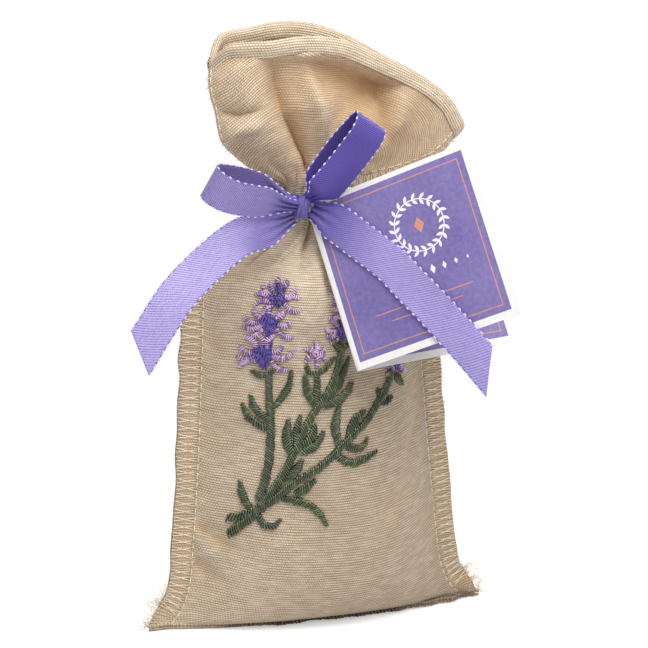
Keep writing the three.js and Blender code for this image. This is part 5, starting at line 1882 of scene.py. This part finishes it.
def bow_knot():
    """The knot: ribbon wrapped over the bow, pleated along the way it winds."""
    facing = unit((KNOT_CENTRE - np.array([-NECK_SHIFT, 0, TIE_HEIGHT])) * (1, 1, 0))
    side = np.cross([0, 0, 1.0], facing)
    turns = np.linspace(0, 2 * math.pi, 72, endpoint=False)[:, None]
    s = np.linspace(-1, 1, 37)[None, :]
    waist = 0.86 + 0.14 * np.cos(math.pi * s) * np.cos(turns) ** 2
    shoulder = np.clip(1 - np.abs(s) ** 5, 0, 1) ** 0.4
    creases = 1 + 0.085 * np.sin(10 * s + 0.9 * np.sin(turns) + 0.6) + 0.04 * np.sin(17 * s - turns)
    reach = waist * shoulder * creases
    a = KNOT_SPAN * s * (1 - 0.12 * np.cos(turns) ** 2) + KNOT_SLANT * np.sin(turns)
    b = KNOT_DEPTH * np.cos(turns) * reach
    c = KNOT_RISE * np.sin(turns) * reach
    grid = KNOT_CENTRE + a[..., None] * side + b[..., None] * facing + c[..., None] * np.array([0, 0, 1.0])
    u = np.broadcast_to(turns * 4, grid.shape[:2])
    v = np.broadcast_to(s * 5, grid.shape[:2])
    faces = grid_faces(*grid.shape[:2], ring=True)
    # Painted shade over most of the knot.
    tone = np.full(grid.shape[:2], KNOT_SHADE_SHARE)
    return make_piece("bow_knot", grid, faces, [SATIN], np.stack([u, v], -1), depth=tone)


knot = bow_knot()


# Folded card tag

TAG_SIDE = 48 * MM
TAG_SPREAD = math.radians(41)
TAG_HOLE_RADIUS = 1.7 * MM
TAG_HOLE_INSET = 4.2 * MM
PRINT_LEFT, PRINT_TOP = 1.2 * MM, 1.4 * MM
PRINT_END = TAG_SIDE - 2 * MM
PRINT_HEIGHT = 0.03 * MM
TAG_SKEW_SHARE = 0.065
BACK_ACROSS = unit(
    FRONT_ACROSS * math.cos(TAG_SPREAD) - FRONT_FACING * math.sin(TAG_SPREAD) + TAG_DOWN * TAG_SKEW_SHARE
)
BACK_FACING = unit(np.cross(TAG_DOWN, BACK_ACROSS))


def flat_shape(outline, holes=()):
    """Points and triangles of a flat outline with holes, by Blender's own filling."""
    curve = bpy.data.curves.new("outline", "CURVE")
    curve.dimensions = "2D"
    curve.fill_mode = "BOTH"
    for loop in [outline, *holes]:
        spline = curve.splines.new("POLY")
        spline.points.add(len(loop) - 1)
        for k, (x, y) in enumerate(loop):
            spline.points[k].co = (x / MM, y / MM, 0, 1)
        spline.use_cyclic_u = True
    source = bpy.data.objects.new("outline", curve)
    mesh = source.to_mesh()
    points = np.array([v.co[:2] for v in mesh.vertices]) * MM
    faces = [list(p.vertices) for p in mesh.polygons]
    source.to_mesh_clear()
    bpy.data.objects.remove(source)
    bpy.data.curves.remove(curve)
    return points, faces


def plate(loops, across, facing, low, high):
    """Points and faces of a plate between two heights on a tag leaf."""
    flat, faces = flat_shape(loops[0], loops[1:])
    count = len(flat)
    points = []
    for height in (high, low):
        points += [tag_point(across, facing, x, y, height) for x, y in flat]
    solid = faces + [[v + count for v in face[::-1]] for face in faces]
    edges = dict.fromkeys(edge for face in faces for edge in zip(face, face[1:] + face[:1]))
    for a, b in edges:
        if (b, a) not in edges:
            solid.append([b, a, a + count, b + count])
    return np.array(points), solid


def circle(x, y, radius, count=40):
    turn = np.linspace(0, 2 * math.pi, count, endpoint=False)
    return list(zip(x + radius * np.cos(turn), y + radius * np.sin(turn)))


def rectangle(left, top, right, bottom):
    return [(left, top), (right, top), (right, bottom), (left, bottom)]


def print_box(inset):
    """Outline of the printed area, moved in by inset."""
    return rectangle(PRINT_LEFT + inset, PRINT_TOP + inset, PRINT_END - inset, PRINT_END - inset)


PRINT_MARK, LINE_MARK, INK_MARK = range(3)
KEYLINE_INSET = 1.7 * MM
KEYLINE_WIDTH = 0.3 * MM


def flat_shaded(piece):
    faces = piece.data.polygons
    faces.foreach_set("use_smooth", np.zeros(len(faces), bool))


def tag_leaf(name, across, facing, side):
    hole = circle(TAG_HOLE_INSET, TAG_HOLE_INSET, TAG_HOLE_RADIUS)
    low = side * LEAF_OFFSET - CARD_THICKNESS / 2
    high = side * LEAF_OFFSET + CARD_THICKNESS / 2
    outline = rectangle(GAP / 2, 0, TAG_SIDE, TAG_SIDE)
    points, faces = plate([outline, hole], across, facing, low, high)
    card = make_piece(name + "_card", points, faces, [CARD])
    flat_shaded(card)
    heap = Heap()

    def ink(loops, mark, layer):
        base = high + PRINT_HEIGHT * (layer - 0.5)
        heap.add(*plate(loops, across, facing, base, base + PRINT_HEIGHT), mark)

    ink([print_box(0), hole], PRINT_MARK, 0)
    ink([print_box(KEYLINE_INSET), print_box(KEYLINE_INSET + KEYLINE_WIDTH)], LINE_MARK, 1)
    if side > 0:
        tag_ornament(ink)
    prints = heap.piece(name + "_print", [PRINT, KEYLINE, INK])
    flat_shaded(prints)
    return card, prints


def leaf_shape(x, y, angle, length, width):
    """A pointed leaf that starts at x, y."""
    t = np.linspace(0, 1, 9)
    bow = np.sin(math.pi * t) * width / 2
    run = t * length
    c, s = math.cos(angle), math.sin(angle)
    up = [(x + r * c - b * s, y + r * s + b * c) for r, b in zip(run, bow)]
    down = [(x + r * c + b * s, y + r * s - b * c) for r, b in zip(run[-2:0:-1], bow[-2:0:-1])]
    return up + down


def diamond(x, y, wide, tall):
    return [(x - wide, y), (x, y - tall), (x + wide, y), (x, y + tall)]


WREATH_LEAF_LENGTH = 2.1 * MM
WREATH_LEAF_WIDTH = 0.85 * MM
HEART_DIAMOND = (1.5 * MM, 2.2 * MM)
DIAMOND_PITCH = 3.4 * MM
DIAMOND_HEIGHT = 1.3 * MM
DIAMOND_LOSS = 0.25 * MM


def tag_ornament(ink):
    """A plain wreath of leaves over a row of diamonds and two lines."""
    x, y, radius = TAG_SIDE * 0.6, TAG_SIDE * 0.34, TAG_SIDE * 0.15
    line = KEYLINE_WIDTH
    ink([circle(x, y, radius, 72), circle(x, y, radius - line, 72)[::-1]], INK_MARK, 1)
    for turn in np.linspace(0, 2 * math.pi, 20, endpoint=False):
        px, py = x + (radius - line / 2) * math.cos(turn), y + (radius - line / 2) * math.sin(turn)
        for lean in (0.7, 2.44):
            ink([leaf_shape(px, py, turn + lean, WREATH_LEAF_LENGTH, WREATH_LEAF_WIDTH)], INK_MARK, 2)
    ink([diamond(x, y, *HEART_DIAMOND)], LINE_MARK, 1)
    row = TAG_SIDE * 0.6
    for k in range(-3, 4):
        tall = DIAMOND_HEIGHT - DIAMOND_LOSS * abs(k)
        ink([diamond(x + k * DIAMOND_PITCH, row, tall * 0.6, tall)], INK_MARK, 1)
    for k, wide in enumerate((0.3, 0.22)):
        ry = TAG_SIDE * (0.74 + 0.055 * k)
        left, right = TAG_SIDE / 2 - TAG_SIDE * wide, TAG_SIDE / 2 + TAG_SIDE * wide
        ink([rectangle(left, ry, right, ry + line)], LINE_MARK, 1)


tag_front, tag_front_print = tag_leaf("tag_front", FRONT_ACROSS, FRONT_FACING, 1)
tag_back, tag_back_print = tag_leaf("tag_back", BACK_ACROSS, BACK_FACING, -1)


def tag_spine():
    """The rounded fold that joins the two leaves."""
    outer = LEAF_OFFSET + CARD_THICKNESS / 2
    rows, count = 9, 24
    turn = np.linspace(0, 2 * math.pi, count, endpoint=False)
    ring = FRONT_ACROSS * np.cos(turn)[:, None] + FRONT_FACING * np.sin(turn)[:, None]
    ring = TAG_CORNER + ring * (outer * 0.95)
    grid = np.stack([ring + TAG_DOWN * down for down in np.linspace(0, TAG_SIDE, rows)])
    caps = [list(range(count))[::-1], [(rows - 1) * count + k for k in range(count)]]
    return make_piece("tag_spine", grid, ring_walls(rows, count) + caps, [CARD])


spine = tag_spine()


# Dried flowers inside the bag

FILLING_ROOM = 1.2 * MM
FILLING_BUMP_SCALE = 3 * MM


def filling():
    places = np.linspace(0.05, 0.8, 60)
    across = np.linspace(-0.9, 0.9, 50)
    inset = 2 * (CLOTH_THICKNESS / 2 + GAP)
    loops = []
    for place in places:
        front = body_surface(-1, across, np.full_like(across, place))
        back = body_surface(1, across[::-1], np.full_like(across, place))
        front[:, 1] += inset + FILLING_ROOM
        back[:, 1] -= inset + FILLING_ROOM
        loops.append(np.concatenate([front, back]))
    grid = np.stack(loops)
    grid[:, :, 2] = grid[:, :1, 2]
    middle = grid.mean(1, keepdims=True)
    bumps = waves(grid[..., 0] + grid[..., 1], grid[..., 2], 61, FILLING_BUMP_SCALE)
    grid = lerp(middle, grid, (0.985 + 0.01 * bumps)[..., None])
    rows, count = grid.shape[:2]
    points = np.concatenate([grid.reshape(-1, 3), grid[0].mean(0)[None], grid[-1].mean(0)[None]])
    faces = ring_walls(rows, count)
    for k in range(count):
        n = (k + 1) % count
        faces.append([n, k, rows * count])
        faces.append([(rows - 1) * count + k, (rows - 1) * count + n, rows * count + 1])
    return make_piece("dried_filling", points, faces, [BUDS])


stuffing = filling()


# Which body each piece rides on, and which node it stands for

def settle(piece, body, slot, *nodes):
    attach(piece, body)
    if nodes:
        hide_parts(*nodes)


settle(front_cloth, "bag", "cloth", "front_panel")
settle(back_cloth, "bag", "cloth", "back_panel")
settle(front_hem, "bag", "cloth")
settle(back_hem, "bag", "cloth")
settle(left_threads, "bag", "seam_thread", "left_seam_thread")
settle(right_threads, "bag", "seam_thread", "right_seam_thread")
settle(bottom_overlock, "bag", "seam_thread", "bottom_seam_thread")
settle(frayed, "bag", "cloth")
settle(stems, "bag", "green_thread", "embroidered_stems")
settle(left_spike, "bag", "violet_thread", "left_flower_spike")
settle(bud, "bag", "violet_thread", "flower_bud")
settle(middle_spike, "bag", "violet_thread", "middle_flower_spike")
settle(right_spike, "bag", "violet_thread", "right_flower_spike")
settle(neck_band, "bag", "satin_ribbon", "ribbon_neck_band")
settle(knot, "bag", "satin_ribbon", "ribbon_knot")
settle(stuffing, "bag", "dried_flowers", "flower_filling")
settle(left_loop, "left_loop", "satin_ribbon", "ribbon_left_loop")
settle(left_loop_picots, "left_loop", "satin_ribbon")
settle(right_loop, "right_loop", "satin_ribbon", "ribbon_right_loop")
settle(right_loop_picots, "right_loop", "satin_ribbon")
settle(left_tail, "left_tail", "satin_ribbon", "ribbon_left_tail")
settle(left_tail_picots, "left_tail", "satin_ribbon")
settle(right_tail, "right_tail", "satin_ribbon", "ribbon_right_tail")
settle(right_tail_picots, "right_tail", "satin_ribbon")
settle(tag_front, "tag_front", "card", "tag_front_leaf")
settle(tag_front_print, "tag_front", "card")
settle(tag_back, "tag_back", "card", "tag_back_leaf")
settle(tag_back_print, "tag_back", "card")
settle(spine, "tag_back", "card")


# Floor, lamps and camera

FLOOR_REACH = 0.5
FLOOR_FADE_START = 0.14
FLOOR_FADE_END = 0.34
FLOOR_GLOW = 0.42
WORLD_LIGHT = 0.32


def floor():
    """A pale floor that keeps the shadow and fades into the white behind it."""
    steps = 9
    line = np.linspace(-FLOOR_REACH, FLOOR_REACH, steps)
    grid = np.array([[(x, y, 0) for x in line] for y in line])
    s = Shader("pale_floor", 0.9)
    s.put(s.surface.inputs["Base Color"], linear("#F0F0F2"))
    path = s.node("ShaderNodeLightPath")
    glow = s.node("ShaderNodeEmission", {"Color": (1, 1, 1, 1), "Strength": FLOOR_GLOW})
    near = s.node("ShaderNodeAddShader", {0: s.surface.outputs[0], 1: glow.outputs[0]})
    away = s.node("ShaderNodeVectorMath", {0: s.place()}, operation="LENGTH").outputs["Value"]
    clear = s.node("ShaderNodeBsdfTransparent")
    fade = s.fit(away, FLOOR_FADE_START, FLOOR_FADE_END)
    seen = s.node("ShaderNodeMixShader", {0: fade, 1: near.outputs[0], 2: clear.outputs[0]})
    choice = {0: path.outputs["Is Camera Ray"], 1: s.surface.outputs[0], 2: seen.outputs[0]}
    both = s.node("ShaderNodeMixShader", choice)
    out = next(n for n in s.tree.nodes if n.type == "OUTPUT_MATERIAL")
    s.tree.links.new(both.outputs[0], out.inputs["Surface"])
    piece = make_piece("floor", grid, grid_faces(steps, steps), [s.material])


floor()


def world():
    """White behind the bag, and a dimmer white light from all round."""
    scene_world = bpy.data.worlds.new("studio")
    bpy.context.scene.world = scene_world
    scene_world.use_nodes = True
    tree = scene_world.node_tree
    back = next(n for n in tree.nodes if n.type == "BACKGROUND")
    path = tree.nodes.new("ShaderNodeLightPath")
    fit = tree.nodes.new("ShaderNodeMapRange")
    fit.inputs[3].default_value = WORLD_LIGHT
    fit.inputs[4].default_value = 1.0
    tree.links.new(path.outputs["Is Camera Ray"], fit.inputs[0])
    tree.links.new(fit.outputs[0], back.inputs["Strength"])
    back.inputs["Color"].default_value = (1, 1, 1, 1)


world()


def lamp(name, azimuth, elevation, distance, width, power):
    """A square lamp that faces the bag from an azimuth and elevation in degrees."""
    a, e = math.radians(azimuth), math.radians(elevation)
    away = Vector((math.sin(a) * math.cos(e), -math.cos(a) * math.cos(e), math.sin(e)))
    light = bpy.data.lights.new(name, "AREA")
    light.size = width
    light.energy = power
    piece = bpy.data.objects.new(name, light)
    piece.location = Vector((0, 0, TIE_HEIGHT / 2)) + away * distance
    piece.rotation_mode = "QUATERNION"
    piece.rotation_quaternion = away.to_track_quat("Z", "Y")
    bpy.context.scene.collection.objects.link(piece)


# Each lamp has its azimuth, elevation, distance, width and power
LAMPS = {
    "key": (14, 40, 0.6, 0.3, 1.3),
    "left_fill": (-72, 38, 0.9, 0.5, 1.5),
    "right_fill": (70, 42, 0.9, 0.5, 0.45),
    "top": (-5, 68, 0.5, 0.3, 1.6),
    "rim": (122, 25, 0.8, 0.3, 2.6),
}
for lamp_name, lamp_values in LAMPS.items():
    lamp(lamp_name, *lamp_values)


CAMERA_AZIMUTH = math.radians(-18)
CAMERA_ELEVATION = math.radians(10)
CAMERA_DISTANCE = 480 * MM
NEAREST_SEEN = 10 * MM
FARTHEST_SEEN = 20.0
CAMERA_TARGET = Vector((2 * MM, 0, 86 * MM))
FOCAL_PIXELS = 1680
IMAGE_PIXELS = 648


def camera():
    back = Vector((
        math.sin(CAMERA_AZIMUTH) * math.cos(CAMERA_ELEVATION),
        -math.cos(CAMERA_AZIMUTH) * math.cos(CAMERA_ELEVATION),
        math.sin(CAMERA_ELEVATION),
    ))
    data = bpy.data.cameras.new("camera")
    data.lens = data.sensor_width * FOCAL_PIXELS / IMAGE_PIXELS
    data.clip_start = NEAREST_SEEN
    data.clip_end = FARTHEST_SEEN
    piece = bpy.data.objects.new("camera", data)
    piece.location = CAMERA_TARGET + back * CAMERA_DISTANCE
    piece.rotation_mode = "QUATERNION"
    piece.rotation_quaternion = back.to_track_quat("Z", "Y")
    bpy.context.scene.collection.objects.link(piece)
    bpy.context.scene.camera = piece


camera()
bpy.context.scene.view_settings.view_transform = "Standard"

bpy.context.view_layer.update()
